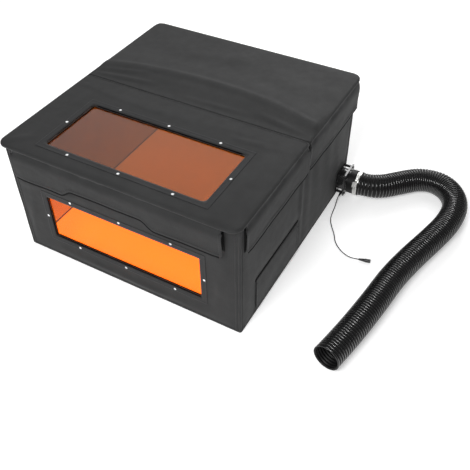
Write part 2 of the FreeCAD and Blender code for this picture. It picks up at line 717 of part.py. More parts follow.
def fan_motor():
    """What stays still inside the fan: bearings, stator and circuit board."""
    bearings = [ring(f"fan_bearing{number}", "shaft_radius + shaft_slack", "bearing_radius",
                     "bearing_width", at_fan(offset))
                for number, offset in enumerate(("near_bearing", "far_bearing"))]
    node(group("fan_bearings", bearings))
    tube = "(bearing_radius + shaft_slack + tube_wall + shaft_slack)"
    node(ring("fan_stator", tube, "stator_radius", "stator_long", at_fan("stator_start")))
    node(ring("fan_circuit_board", tube, "circuit_radius", "circuit_thick", at_fan("circuit_start")))


def fan_rotor():
    """The impeller, its magnet ring and its shaft."""
    body = new_body("fan_impeller", at_fan("hub_start"), TURN["x"])
    sketch = new_sketch(body, "XY_Plane")
    circle(sketch, 0, 0, "hub_radius")
    pad(body, sketch, "hub_long")
    blade = new_sketch(body, "XZ_Plane")
    outline(blade, [((6, 1), "7", "1"), ((8, 1), "9", "1"), ((2, 15), "2", "hub_long - 1"),
                    ((1, 15), "0.6", "hub_long - 1")])
    first = pad(body, blade, "blade_reach")
    pattern = body.newObject("PartDesign::PolarPattern", "fan_blades")
    pattern.Originals = [first]
    pattern.Axis = (sketch, ["N_Axis"])
    pattern.Angle = 360
    bind(pattern, Occurrences="blade_count")
    body.Tip = pattern
    doc.recompute()
    hollow = new_sketch(body, "XY_Plane")
    hollow.AttachmentOffset = Placement(Vector(0, 0, DIMENSIONS["hub_wall"]), Rotation())
    circle(hollow, 0, 0, "hub_radius - hub_wall")
    pocket = body.newObject("PartDesign::Pocket", "fan_hub_hollow")
    pocket.Profile = hollow
    pocket.Reversed = True
    bind(pocket, Length="hub_long")
    doc.recompute()
    node(body)
    node(ring("fan_magnet_ring", "hub_radius - hub_wall - shaft_slack - magnet_thick",
              "hub_radius - hub_wall - shaft_slack", "stator_long", at_fan("stator_start")))
    node(cylinder("fan_shaft", "shaft_radius", "shaft_long", at_fan("hub_start + hub_wall"), "x"))


def fan_guard():
    """The wire finger guard inside the wall: three rings and a cross."""
    place_x = f"{INNER_X} - inner_plate_thick - guard_wire"
    rings = []
    for number in (1, 2, 3):
        torus = doc.addObject("Part::Torus", f"guard_ring{number}")
        bind(torus, Radius1=f"{number}*guard_pitch", Radius2="guard_wire")
        place(torus, (place_x, "fan_place", "fan_height"), TURN["x"])
        rings.append(torus)
    bars = [cylinder("guard_bar_level", "guard_wire", "2*guard_reach",
                     (place_x, "fan_place - guard_reach", "fan_height"), "y"),
            cylinder("guard_bar_upright", "guard_wire", "2*guard_reach",
                     (place_x, "fan_place", "fan_height - guard_reach"), "z")]
    node(fuse("fan_guard", rings + bars))


def fan_fasteners():
    """Four screws from the duct adapter to the inner plate, and their nuts."""
    outer = f"{FAN_START} + fan_deep + adapter_thick"
    grip = "(fan_deep + adapter_thick + cover_thick + board_thick + lining_thick + inner_plate_thick)"
    screws = []
    nuts = []
    for number, (dy, dz) in enumerate(SCREW_CORNERS):
        y = f"fan_place + {dy}*screw_offset"
        z = f"fan_height + {dz}*screw_offset"
        tail = f"{outer} - {grip} - screw_tail"
        shank = cylinder(f"screw_shank{number}", "screw_radius", f"{grip} + screw_tail", (tail, y, z), "x")
        head = cylinder(f"screw_head{number}", "2*screw_radius", "screw_head", (outer, y, z), "x")
        slot = box(f"screw_slot{number}", ("screw_head", "4*screw_radius + slot_wide", "slot_wide"),
                   (f"{outer} + screw_head - slot_deep", f"{y} - 2*screw_radius - slot_wide/2",
                    f"{z} - slot_wide/2"))
        screws.append(cut(f"fan_screw{number}", fuse(f"screw_blank{number}", [shank, head]), slot))
        prism = doc.addObject("Part::Prism", f"nut_blank{number}")
        prism.Polygon = 6
        bind(prism, Circumradius="nut_radius", Height="nut_thick")
        place(prism, (f"{outer} - {grip} - nut_thick", y, z), TURN["x"])
        bore = cylinder(f"nut_bore{number}", "screw_radius + shaft_slack", "2*screw_tail", (tail, y, z), "x")
        nuts.append(cut(f"fan_nut{number}", prism, bore))
    node(group("fan_screws", screws))
    node(group("fan_nuts", nuts))


def duct_adapter():
    """The square plate with a round collar that the hose slips over."""
    plate = rounded_plate("adapter_plate", "adapter_size", "adapter_thick", "fan_deep",
                          "collar_inner_radius", "adapter_round")
    collar = ring("adapter_collar", "collar_inner_radius", "collar_outer_radius",
                  "adapter_thick + collar_long", at_fan("fan_deep"))
    node(fuse("duct_adapter", [plate, collar]))


# ---------------------------------------------------------------- hose clamp

def worm_frame(offset_out, offset_along):
    """A placement at the clamp's worm: its Z runs along the worm and its X away from the hose."""
    angle = math.radians(WORM_ANGLE)
    away = Vector(0, math.cos(angle), math.sin(angle))
    along = Vector(0, math.sin(angle), -math.cos(angle))
    radius = DIMENSIONS["clamp_inner_radius"] + DIMENSIONS["clamp_thick"] + offset_out
    centre = Vector(DIMENSIONS["clamp_place"], DIMENSIONS["fan_place"], DIMENSIONS["fan_height"])
    turn = Rotation(away, along.cross(away), along, "ZXY")
    return Placement(centre + away * radius + along * offset_along, turn)


def at_worm(piece, offset_out, offset_along, shift=Vector(), **sizes):
    """Sizes a piece of the clamp and places it at the worm."""
    bind(piece, **sizes)
    piece.Placement = worm_frame(offset_out, offset_along).multiply(Placement(shift, Rotation()))
    return piece


def hose_clamp(sheet):
    """A worm-drive clamp: band, housing and the screw that turns in it."""
    node(ring("hose_clamp_band", "clamp_inner_radius", "clamp_inner_radius + clamp_thick", "clamp_wide",
              ("clamp_place - clamp_wide/2", "fan_place", "fan_height")))
    start = -sheet.housing_long / 2
    axis = sheet.housing_lift + sheet.housing_tall / 2
    block = at_worm(doc.addObject("Part::Box", "housing_block"), sheet.housing_lift, start,
                    Vector(0, -sheet.housing_wide / 2, 0),
                    Length="housing_tall", Width="housing_wide", Height="housing_long")
    bore = at_worm(doc.addObject("Part::Cylinder", "housing_bore"), axis, start - CLEAR,
                   Radius="worm_radius + worm_slack", Height=f"housing_long + {2 * CLEAR}")
    saddle = at_worm(doc.addObject("Part::Box", "housing_saddle"), sheet.saddle_gap,
                     -sheet.saddle_long / 2, Vector(0, -sheet.clamp_wide / 2, 0),
                     Length="housing_lift", Width="clamp_wide", Height="saddle_long")
    node(cut("hose_clamp_housing", fuse("housing_blank", [block, saddle]), bore))
    thread = at_worm(doc.addObject("Part::Cylinder", "worm_thread"), axis, start - sheet.worm_end,
                     Radius="worm_radius", Height="housing_long + 2*worm_end")
    head = doc.addObject("Part::Prism", "worm_head")
    head.Polygon = 6
    at_worm(head, axis, sheet.worm_end - start, Circumradius="worm_head_radius", Height="worm_head_long")
    reach = sheet.worm_head_radius + CLEAR
    slot = at_worm(doc.addObject("Part::Box", "worm_slot"), axis,
                   sheet.worm_end - start + sheet.worm_head_long - sheet.worm_slot_deep,
                   Vector(-sheet.worm_slot_wide / 2, -reach, 0),
                   Length="worm_slot_wide", Width=f"2*(worm_head_radius + {CLEAR})",
                   Height=f"worm_slot_deep + {CLEAR}")
    node(cut("hose_clamp_screw", fuse("worm_blank", [thread, head]), slot))


# ---------------------------------------------------------------- cords

def route_path(name, route):
    """Straight runs joined by tangent arcs, each as large as its two runs allow."""
    points = [Vector(*point) for point in route]
    edges = []
    radii = []
    start = points[0]
    for before, corner, after in zip(points, points[1:], points[2:]):
        run_in = corner - before
        run_out = after - corner
        turn = run_in.getAngle(run_out)
        tangent = 0.45 * min(run_in.Length, run_out.Length)
        radii.append(round(tangent / math.tan(turn / 2), 1))
        unit_in = Vector(run_in).normalize()
        unit_out = Vector(run_out).normalize()
        arc_start = corner - unit_in * tangent
        arc_end = corner + unit_out * tangent
        bisector = (unit_out - unit_in).normalize()
        reach = tangent / math.tan(turn / 2)
        middle = corner + bisector * (reach / math.cos(turn / 2) - reach)
        edges.append(Part.LineSegment(start, arc_start).toShape())
        edges.append(Part.Arc(arc_start, middle, arc_end).toShape())
        start = arc_end
    edges.append(Part.LineSegment(start, points[-1]).toShape())
    wire = Part.Wire(edges)
    print(f"{name}: length {wire.Length:.1f} mm, arc radii {radii}")
    return wire


def sweep_round(wire, radius):
    """A round bar along a path."""
    start = wire.Edges[0]
    heading = start.tangentAt(start.FirstParameter)
    origin = start.valueAt(start.FirstParameter)
    profile = Part.Wire([Part.Circle(origin, heading, radius).toShape()])
    return wire.makePipeShell([profile], True, True)


def check_tube(name, shape, area, length):
    """Compares a tube's volume with its section times its length."""
    expected = area * length
    print(f"{name}: volume {shape.Volume:.0f}, section x length {expected:.0f}")
    if abs(shape.Volume - expected) > 0.02 * expected:
        raise ValueError(f"{name} isn't the volume of its section along its length")


def exhaust_hose(sheet):
    """The duct hose, an open tube from the collar to its bare end."""
    wire = route_path("exhaust_hose", HOSE_ROUTE)
    outer = sweep_round(wire, sheet.hose_radius)
    inner = sweep_round(wire, sheet.hose_bore_radius)
    piece = doc.addObject("Part::Feature", "exhaust_hose")
    piece.Shape = outer.cut(inner)
    check_tube("exhaust_hose", piece.Shape,
               math.pi * (sheet.hose_radius ** 2 - sheet.hose_bore_radius ** 2), wire.Length)
    node(piece)


def fan_lead(sheet):
    """The fan's lead, its strain relief and its socket."""
    wire = route_path("fan_lead", LEAD_ROUTE)
    piece = doc.addObject("Part::Feature", "fan_lead")
    piece.Shape = sweep_round(wire, sheet.lead_radius)
    check_tube("fan_lead", piece.Shape, math.pi * sheet.lead_radius ** 2, wire.Length)
    node(piece)
    exit_x, exit_y, exit_z = LEAD_ROUTE[0]
    wide = "relief_wide_radius"
    tip = "relief_tip_radius"
    node(turned("lead_strain_relief",
                [((0, 0), "0", "0"), ((3, 0), wide, "0"), ((3, 4), wide, "relief_long/4"),
                 ((2, 16), tip, "relief_long"), ((0, 16), "0", "relief_long")],
                (exit_x, f"{exit_y} + relief_long", exit_z), TURN["-y"]))
    end_x, end_y, end_z = LEAD_ROUTE[-1]
    turn = Rotation(Vector(0, 0, 1), SOCKET_TURN).multiply(TURN["x"])
    node(turned("fan_lead_socket",
                [((0, 0), "0", "0"), ((2, 0), "socket_neck_radius", "0"),
                 ((5, 20), "socket_radius", "socket_long - 13"), ((5, 34), "socket_radius", "socket_long"),
                 ((3, 34), "socket_bore_radius", "socket_long"),
                 ((3, 24), "socket_bore_radius", "socket_long - socket_bore_deep"),
                 ((0, 24), "0", "socket_long - socket_bore_deep")],
                (end_x, end_y, end_z), turn))


# ---------------------------------------------------------------- build, check and write

def build():
    sheet = make_sheet()
    front_wall()
    back_wall()
    left_wall()
    right_wall()
    corner_bindings()
    wall_ring("base_binding", "0")
    wall_ring("rim_binding", "wall_top - binding_height")
    wall_tapes()
    front_lid()
    rear_lid()
    front_flap()
    side_flap("right")
    side_flap("left")
    rear_skirt()
    cable_port()
    fan_frame()
    fan_motor()
    fan_rotor()
    fan_guard()
    fan_fasteners()
    duct_adapter()
    hose_clamp(sheet)
    exhaust_hose(sheet)
    fan_lead(sheet)
    doc.recompute()


def check_document():
    """Stops if any object failed or any sub-part has no valid shape."""
    for item in doc.Objects:
        if any(word in item.State for word in ("Invalid", "Error")):
            raise RuntimeError(f"{item.Label} failed: {item.State}")
    for name, piece in nodes.items():
        if piece.Shape.isNull() or not piece.Shape.isValid() or not piece.Shape.Solids:
            raise RuntimeError(f"{name} has no valid solid")


def write_parts():
    """Writes each sub-part to its own STEP file."""
    os.makedirs("parts", exist_ok=True)
    for name, piece in nodes.items():
        piece.Shape.exportStep(f"parts/{name}.step")
    print(f"{len(nodes)} sub-parts written")


build()
check_document()
write_parts()
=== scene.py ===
import functools
import json
import math

import bmesh
import bpy
import numpy as np
from mathutils import Matrix, Vector, noise

# The looks of a folding fabric enclosure: cloth over stiff boards, sewn bindings, amber windows,
# loose skirt flaps, an exhaust fan, a ribbed duct hose and the fan's lead. Metres, Z up.
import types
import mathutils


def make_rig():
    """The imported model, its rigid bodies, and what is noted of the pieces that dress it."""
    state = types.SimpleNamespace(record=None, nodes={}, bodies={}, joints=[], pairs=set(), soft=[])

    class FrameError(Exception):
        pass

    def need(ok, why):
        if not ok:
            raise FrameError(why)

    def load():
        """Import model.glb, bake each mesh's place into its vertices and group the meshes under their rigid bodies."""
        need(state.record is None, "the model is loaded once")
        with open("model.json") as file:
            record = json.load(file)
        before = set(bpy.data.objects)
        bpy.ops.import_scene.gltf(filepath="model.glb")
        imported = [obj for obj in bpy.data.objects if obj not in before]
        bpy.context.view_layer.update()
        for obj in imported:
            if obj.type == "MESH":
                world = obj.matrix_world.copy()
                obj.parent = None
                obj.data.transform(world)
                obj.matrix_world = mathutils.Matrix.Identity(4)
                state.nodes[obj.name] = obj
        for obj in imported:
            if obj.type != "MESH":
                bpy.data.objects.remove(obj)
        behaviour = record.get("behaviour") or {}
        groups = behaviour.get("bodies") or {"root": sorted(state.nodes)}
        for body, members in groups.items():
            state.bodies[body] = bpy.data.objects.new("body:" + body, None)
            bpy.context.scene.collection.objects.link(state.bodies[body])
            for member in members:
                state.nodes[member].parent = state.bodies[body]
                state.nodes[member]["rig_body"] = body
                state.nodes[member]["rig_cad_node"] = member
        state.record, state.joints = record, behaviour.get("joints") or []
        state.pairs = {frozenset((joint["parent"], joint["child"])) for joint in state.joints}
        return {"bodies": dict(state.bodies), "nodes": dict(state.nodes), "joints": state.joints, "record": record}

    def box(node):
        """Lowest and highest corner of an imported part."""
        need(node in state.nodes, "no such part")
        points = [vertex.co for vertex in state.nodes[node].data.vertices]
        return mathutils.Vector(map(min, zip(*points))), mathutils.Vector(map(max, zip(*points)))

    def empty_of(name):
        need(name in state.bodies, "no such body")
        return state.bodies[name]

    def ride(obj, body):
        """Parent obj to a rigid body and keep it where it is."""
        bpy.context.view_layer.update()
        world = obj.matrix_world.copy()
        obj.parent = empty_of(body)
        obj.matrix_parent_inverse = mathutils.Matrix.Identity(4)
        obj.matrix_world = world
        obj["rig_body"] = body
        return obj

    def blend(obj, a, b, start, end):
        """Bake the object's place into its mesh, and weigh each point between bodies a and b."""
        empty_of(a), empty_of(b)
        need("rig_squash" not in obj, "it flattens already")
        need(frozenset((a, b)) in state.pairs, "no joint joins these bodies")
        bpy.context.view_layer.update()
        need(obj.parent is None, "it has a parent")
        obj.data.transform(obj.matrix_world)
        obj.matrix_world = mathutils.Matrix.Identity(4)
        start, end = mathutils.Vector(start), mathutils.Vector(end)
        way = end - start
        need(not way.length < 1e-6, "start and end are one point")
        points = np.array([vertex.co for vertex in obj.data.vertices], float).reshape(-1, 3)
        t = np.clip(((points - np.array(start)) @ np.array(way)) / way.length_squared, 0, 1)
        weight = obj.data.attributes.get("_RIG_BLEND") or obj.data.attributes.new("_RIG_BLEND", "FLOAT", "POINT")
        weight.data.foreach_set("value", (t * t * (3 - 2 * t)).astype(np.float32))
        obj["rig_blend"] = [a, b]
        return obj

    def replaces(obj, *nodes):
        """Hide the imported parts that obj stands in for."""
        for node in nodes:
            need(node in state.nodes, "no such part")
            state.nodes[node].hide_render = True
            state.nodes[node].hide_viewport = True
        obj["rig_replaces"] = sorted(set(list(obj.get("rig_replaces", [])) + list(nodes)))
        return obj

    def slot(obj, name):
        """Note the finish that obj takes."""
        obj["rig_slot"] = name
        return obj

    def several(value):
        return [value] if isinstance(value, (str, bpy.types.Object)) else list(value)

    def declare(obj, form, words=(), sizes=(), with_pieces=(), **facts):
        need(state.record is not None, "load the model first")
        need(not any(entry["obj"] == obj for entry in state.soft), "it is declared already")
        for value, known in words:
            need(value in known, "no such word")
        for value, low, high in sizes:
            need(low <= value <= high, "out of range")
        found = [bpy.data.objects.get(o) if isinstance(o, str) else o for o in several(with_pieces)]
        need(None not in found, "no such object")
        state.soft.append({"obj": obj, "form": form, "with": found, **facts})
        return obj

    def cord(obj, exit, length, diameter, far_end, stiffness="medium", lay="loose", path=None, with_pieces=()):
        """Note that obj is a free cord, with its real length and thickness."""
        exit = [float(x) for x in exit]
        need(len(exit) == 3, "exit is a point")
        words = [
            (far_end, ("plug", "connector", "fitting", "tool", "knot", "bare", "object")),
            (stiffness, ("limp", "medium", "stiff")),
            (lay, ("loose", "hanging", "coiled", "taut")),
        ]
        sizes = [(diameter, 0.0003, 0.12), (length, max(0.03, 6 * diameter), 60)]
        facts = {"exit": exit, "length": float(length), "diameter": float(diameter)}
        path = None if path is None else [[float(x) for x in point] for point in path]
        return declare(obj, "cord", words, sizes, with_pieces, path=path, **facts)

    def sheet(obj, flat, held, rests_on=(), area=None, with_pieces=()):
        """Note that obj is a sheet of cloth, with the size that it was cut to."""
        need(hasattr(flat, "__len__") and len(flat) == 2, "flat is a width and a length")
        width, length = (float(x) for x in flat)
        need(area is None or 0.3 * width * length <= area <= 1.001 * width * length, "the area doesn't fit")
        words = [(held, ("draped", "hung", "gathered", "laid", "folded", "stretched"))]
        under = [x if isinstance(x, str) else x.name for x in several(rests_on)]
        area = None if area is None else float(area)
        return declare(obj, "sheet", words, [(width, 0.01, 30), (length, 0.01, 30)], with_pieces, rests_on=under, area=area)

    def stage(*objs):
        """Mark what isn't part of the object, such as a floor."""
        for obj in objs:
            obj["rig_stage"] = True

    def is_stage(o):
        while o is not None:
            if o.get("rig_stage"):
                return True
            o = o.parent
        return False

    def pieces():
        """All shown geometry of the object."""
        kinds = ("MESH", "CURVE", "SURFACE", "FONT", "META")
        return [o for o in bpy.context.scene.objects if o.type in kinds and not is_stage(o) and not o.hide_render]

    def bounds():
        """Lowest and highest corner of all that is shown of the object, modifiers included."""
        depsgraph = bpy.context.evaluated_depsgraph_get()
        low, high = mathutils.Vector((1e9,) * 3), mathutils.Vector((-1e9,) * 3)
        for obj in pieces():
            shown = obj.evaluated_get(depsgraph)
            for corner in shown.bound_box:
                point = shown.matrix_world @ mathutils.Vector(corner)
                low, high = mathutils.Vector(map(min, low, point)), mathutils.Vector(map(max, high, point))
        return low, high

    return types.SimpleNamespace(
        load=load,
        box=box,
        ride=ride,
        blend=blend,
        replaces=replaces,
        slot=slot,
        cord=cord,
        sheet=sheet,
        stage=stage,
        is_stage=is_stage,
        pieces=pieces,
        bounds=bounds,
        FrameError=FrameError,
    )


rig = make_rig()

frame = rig.load()
CAD_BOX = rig.bounds()
MM = 0.001
box_of = functools.lru_cache(maxsize=None)(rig.box)


# ------------------------ camera

AZIMUTH = math.radians(29.517)
ELEVATION = math.radians(42.508)
ROLL = math.radians(-0.716)
CAMERA_PLACE = Vector((0.8613, -1.2778, 1.3959))


def make_camera():
    """The camera, from its bearing, its height above the horizon and a small roll."""
    data = bpy.data.cameras.new("camera")
    data.sensor_width = 36
    data.lens = 51.12
    data.shift_y = -0.05
    back = Vector((math.sin(AZIMUTH) * math.cos(ELEVATION), -math.cos(AZIMUTH) * math.cos(ELEVATION),
                   math.sin(ELEVATION)))
    level = Vector((0, 0, 1)).cross(back).normalized()
    upright = back.cross(level)
    right = math.cos(ROLL) * level + math.sin(ROLL) * upright
    up = math.cos(ROLL) * upright - math.sin(ROLL) * level
    camera = bpy.data.objects.new("camera", data)
    turn = Matrix((right, up, back)).transposed().to_4x4()
    camera.matrix_world = Matrix.Translation(CAMERA_PLACE) @ turn
    bpy.context.scene.collection.objects.link(camera)
    bpy.context.scene.camera = camera


make_camera()


# ------------------------ materials

def new_material(name, colour, roughness, **sockets):
    """A Principled material with its plain values on the shader's own sockets."""
    material = bpy.data.materials.new(name)
    material.use_nodes = True
    shader = material.node_tree.nodes["Principled BSDF"]
    shader.inputs["Base Color"].default_value = (*colour, 1)
    shader.inputs["Roughness"].default_value = roughness
    for socket, value in sockets.items():
        shader.inputs[socket.replace("_", " ")].default_value = value
    return material, shader


def node_of(material, kind, **settings):
    """A node with its properties or named inputs set."""
    item = material.node_tree.nodes.new(kind)
    for key, value in settings.items():
        if key.startswith("in_"):
            item.inputs[key[3:].replace("_", " ")].default_value = value
        else:
            setattr(item, key, value)
    return item


def link(material, source, target):
    """Joins an output of one node to an input of another."""
    material.node_tree.links.new(source, target)


def place_of(material, stretch=(1, 1, 1)):
    """Coordinates of the object itself, in metres, with a stretch along each axis."""
    place = node_of(material, "ShaderNodeTexCoord")
    mapping = node_of(material, "ShaderNodeMapping")
    mapping.inputs["Scale"].default_value = stretch
    link(material, place.outputs["Object"], mapping.inputs["Vector"])
    return mapping.outputs["Vector"]


def noise_of(material, scale, detail, stretch=(1, 1, 1), **settings):
    """The value of a noise pattern that sits on the object itself."""
    pattern = node_of(material, "ShaderNodeTexNoise", in_Scale=scale, in_Detail=detail, **settings)
    link(material, place_of(material, stretch), pattern.inputs["Vector"])
    return pattern.outputs["Fac"]


def mottle(material, shader, colour, spread, scale, stretch=(1, 1, 1), detail=4):
    """Varies the base colour between a darker and a lighter tone."""
    ramp = node_of(material, "ShaderNodeValToRGB")
    for element, position, tone in zip(ramp.color_ramp.elements, (0.3, 0.7), (1 - spread, 1 + spread)):
        element.position = position
        element.color = (*[part * tone for part in colour], 1)
    link(material, noise_of(material, scale, detail, stretch), ramp.inputs["Fac"])
    link(material, ramp.outputs["Color"], shader.inputs["Base Color"])


def vary_roughness(material, shader, low, high, scale, stretch=(1, 1, 1)):
    """Varies the roughness between two values."""
    spread = node_of(material, "ShaderNodeMapRange", in_To_Min=low, in_To_Max=high)
    link(material, noise_of(material, scale, 6, stretch), spread.inputs["Value"])
    link(material, spread.outputs["Result"], shader.inputs["Roughness"])


def bump_from(material, shader, height, distance, strength=1.0, below=None):
    """Adds a bump from a height, over another bump if given."""
    bump = node_of(material, "ShaderNodeBump", in_Distance=distance, in_Strength=strength)
    link(material, height, bump.inputs["Height"])
    if below is not None:
        link(material, below.outputs["Normal"], bump.inputs["Normal"])
    link(material, bump.outputs["Normal"], shader.inputs["Normal"])
    return bump


def weave_height(material, threads):
    """Height of a plain weave, with the given threads in a metre, on faces along any two axes."""
    total = None
    vector = place_of(material)
    for direction in ("X", "Y", "Z"):
        wave = node_of(material, "ShaderNodeTexWave", bands_direction=direction, in_Scale=threads / 20,
                       in_Distortion=0.6, in_Detail=1.0, in_Detail_Scale=3.0)
        link(material, vector, wave.inputs["Vector"])
        if total is None:
            total = wave.outputs["Fac"]
            continue
        add = node_of(material, "ShaderNodeMath", operation="ADD")
        link(material, total, add.inputs[0])
        link(material, wave.outputs["Fac"], add.inputs[1])
        total = add.outputs["Value"]
    return total


def cloth_material(name, colour, threads=1400, rough=(0.62, 0.82), sheen=0.08, spread=0.12, crease=1.0):
    """Coated woven cloth: weave, soft mottling, fine creases and a little sheen."""
    material, shader = new_material(name, colour, 0.7, Sheen_Weight=sheen, Sheen_Roughness=0.45,
                                    Specular_IOR_Level=0.3)
    mottle(material, shader, colour, spread, 9, detail=8)
    vary_roughness(material, shader, *rough, 40)
    soft = noise_of(material, 26, 5, in_Roughness=0.55)
    first = bump_from(material, shader, soft, 1.2 * MM * crease, 0.6)
    bump_from(material, shader, weave_height(material, threads), 0.12 * MM, 0.55, first)
    return material


def plastic_material(name, colour, roughness, grain=600, **sockets):
    """Moulded plastic with a fine grain and faint rub marks."""
    material, shader = new_material(name, colour, roughness, **sockets)
    mottle(material, shader, colour, 0.2, 30)
    vary_roughness(material, shader, roughness * 0.75, roughness * 1.3, 60)
    bump_from(material, shader, noise_of(material, grain, 3), 0.05 * MM, 0.5)
    return material


def metal_material(name, colour, roughness, stretch=(1, 1, 1)):
    """Metal with drawn lines and faint stains."""
    grain = 260
    material, shader = new_material(name, colour, roughness, Metallic=1.0)
    mottle(material, shader, colour, 0.14, 80, stretch)
    vary_roughness(material, shader, roughness * 0.6, roughness * 1.6, grain, stretch)
    bump_from(material, shader, noise_of(material, grain, 4, stretch), 0.04 * MM, 0.5)
    return material


def amber_material(name, tint, lit, index):
    """Clear tinted sheet that tints what is behind it. lit is the colour of the lamps' light through it."""
    material, shader = new_material(name, tint, 0.02, Transmission_Weight=1.0, IOR=index)
    mottle(material, shader, tint, 0.03, 3)
    vary_roughness(material, shader, 0.01, 0.04, 12)
    clear = node_of(material, "ShaderNodeBsdfTransparent")
    clear.inputs["Color"].default_value = (*lit, 1)
    path = node_of(material, "ShaderNodeLightPath")
    mix = node_of(material, "ShaderNodeMixShader")
    link(material, path.outputs["Is Shadow Ray"], mix.inputs["Fac"])
    link(material, shader.outputs["BSDF"], mix.inputs[1])
    link(material, clear.outputs["BSDF"], mix.inputs[2])
    link(material, mix.outputs["Shader"], material.node_tree.nodes["Material Output"].inputs["Surface"])
    return material


def loop_material():
    """Hook and loop tape: a dark pile of tiny loops."""
    colour = (0.02, 0.02, 0.021)
    material, shader = new_material("hook_tape", colour, 0.9, Sheen_Weight=0.5)
    cells = node_of(material, "ShaderNodeTexVoronoi", in_Scale=900)
    link(material, place_of(material), cells.inputs["Vector"])
    mottle(material, shader, colour, 0.35, 500)
    bump_from(material, shader, cells.outputs["Distance"], 0.6 * MM)
    return material


CLOTH = (0.0205, 0.0207, 0.021)
SKIN = cloth_material("cover_fabric", CLOTH)
TAPE = cloth_material("binding_tape", (0.019, 0.0192, 0.0198), threads=900, sheen=0.12)
FRAME_CLOTH = cloth_material("window_surround_fabric", (0.0215, 0.0218, 0.0225))
THREAD = cloth_material("stitch_thread", (0.032, 0.032, 0.033), threads=2600, sheen=0.1)
LINING = cloth_material("silver_lining", (0.72, 0.73, 0.74), threads=1100, rough=(0.32, 0.5), sheen=0.1,
                        spread=0.06, crease=2.2)
# Near-black pile, darker than the hook tape: painted shade, for strips that stand in for shadowed gaps and the shadow
# under hems.
PAINTED_SHADE_PILE = cloth_material("loop_pile", (0.003, 0.003, 0.0032), rough=(0.9, 1.0), sheen=0.0)
AMBER = amber_material("amber_acrylic", (1.0, 0.17, 0.008), (1.0, 0.72, 0.5), 1.2)
# The lid pane's copy of the same amber acrylic, tinted much darker: painted shade for the dim inside seen through it.
SHADED_AMBER = amber_material("dark_amber_acrylic", (0.168, 0.04, 0.003), (1.0, 0.78, 0.6), 1.31)
CLAMP_STEEL = metal_material("clamp_steel", (0.66, 0.66, 0.64), 0.3, (1, 30, 30))
HOSE = plastic_material("hose_skin", (0.004, 0.004, 0.0042), 0.5, grain=300, Specular_IOR_Level=0.25)
HOSE_RIB = plastic_material("hose_rib", (0.004, 0.004, 0.0042), 0.2, grain=300, Coat_Weight=1.0,
                            Coat_Roughness=0.12)
RUBBER = plastic_material("lead_rubber", (0.014, 0.014, 0.015), 0.42)
BLACK_STEEL = plastic_material("black_steel", (0.02, 0.02, 0.021), 0.3, Metallic=0.4, Coat_Weight=0.3)
HOOK = loop_material()
SLOT_MATERIALS = {
    "stiffener_board": plastic_material("stiffener_board", (0.1, 0.1, 0.11), 0.5),
    "hook_tape": HOOK,
    "amber_acrylic": AMBER,
    "window_frame": plastic_material("window_frame", (0.03, 0.03, 0.033), 0.45),
    "white_rivet": plastic_material("white_rivet", (0.84, 0.85, 0.86), 0.25, Coat_Weight=0.4),
    "fan_plastic": plastic_material("fan_plastic", (0.012, 0.012, 0.0125), 0.24, Coat_Weight=0.3),
    "circuit_board": plastic_material("circuit_board", (0.02, 0.16, 0.06), 0.4),
    "motor_iron": metal_material("motor_iron", (0.3, 0.13, 0.07), 0.45),
    "magnet": metal_material("magnet", (0.08, 0.075, 0.07), 0.55),
    "steel": metal_material("steel", (0.62, 0.62, 0.61), 0.28),
    "black_steel": BLACK_STEEL,
    "clamp_steel": CLAMP_STEEL,
}


# ------------------------ mesh helpers

STITCH_PITCH = 4.2 * MM
STITCH_LENGTH = 2.9 * MM
STITCH_THICK = 0.34 * MM


def finish_piece(piece, body, material, slot, *nodes):
    """Gives a piece its material, body, slot and the nodes it stands for. A blended piece has no body."""
    piece.data.materials.clear()
    piece.data.materials.append(material)
    if body is not None:
        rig.ride(piece, body)
    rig.slot(piece, slot)
    if nodes:
        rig.replaces(piece, *nodes)
    return piece


def mesh_object(name, points, faces):
    """A smoothly shaded object from points and faces, with its normals made consistent."""
    mesh = bpy.data.meshes.new(name)
    mesh.from_pydata([tuple(point) for point in points], [], faces)
    work = bmesh.new()
    work.from_mesh(mesh)
    bmesh.ops.recalc_face_normals(work, faces=work.faces)
    work.to_mesh(mesh)
    work.free()
    for face in mesh.polygons:
        face.use_smooth = True
    piece = bpy.data.objects.new(name, mesh)
    bpy.context.scene.collection.objects.link(piece)
    return piece


def ring_faces(rings, sides, closed=False, first=0):
    """Faces that join rings of points, numbered from first, one ring after another.
    The two ends are filled, or joined if closed is true."""
    faces = []
    for ring in range(rings if closed else rings - 1):
        low = first + ring * sides
        high = first + (ring + 1) % rings * sides
        for number in range(sides):
            turn = (number + 1) % sides
            faces.append((low + number, low + turn, high + turn, high + number))
    if not closed:
        faces.append(tuple(range(first, first + sides)))
        faces.append(tuple(range(first + (rings - 1) * sides, first + rings * sides)))
    return faces


def sharpen(piece, degrees=35):
    """Keeps edges sharper than an angle as edges in the shading."""
    work = bmesh.new()
    work.from_mesh(piece.data)
    limit = math.radians(degrees)
    for edge in work.edges:
        edge.smooth = not (len(edge.link_faces) == 2 and edge.calc_face_angle(0) > limit)
    work.to_mesh(piece.data)
    work.free()
    return piece


def bevelled(piece, width):
    """Rounds the hard edges of a piece without changing its mesh."""
    bevel = piece.modifiers.new("soft_edges", "BEVEL")
    bevel.width = width
    bevel.segments = 2
    bevel.limit_method = "ANGLE"
    bevel.angle_limit = math.radians(38)


def thicken(piece, thickness, offset=-1):
    """Makes a sheet as thick as its cloth, inwards from its surface unless offset says otherwise."""
    shell = piece.modifiers.new("thickness", "SOLIDIFY")
    shell.thickness = thickness
    shell.offset = offset


def steps(low, high, pitch, cuts=()):
    """Coordinates from low to high about a pitch apart, with a line at each cut."""
    stops = sorted({low, high, *[cut for cut in cuts if low < cut < high]})
    values = [low]
    for start, end in zip(stops, stops[1:]):
        count = max(1, round((end - start) / pitch))
        values += [start + (end - start) * number / count for number in range(1, count + 1)]
    return values


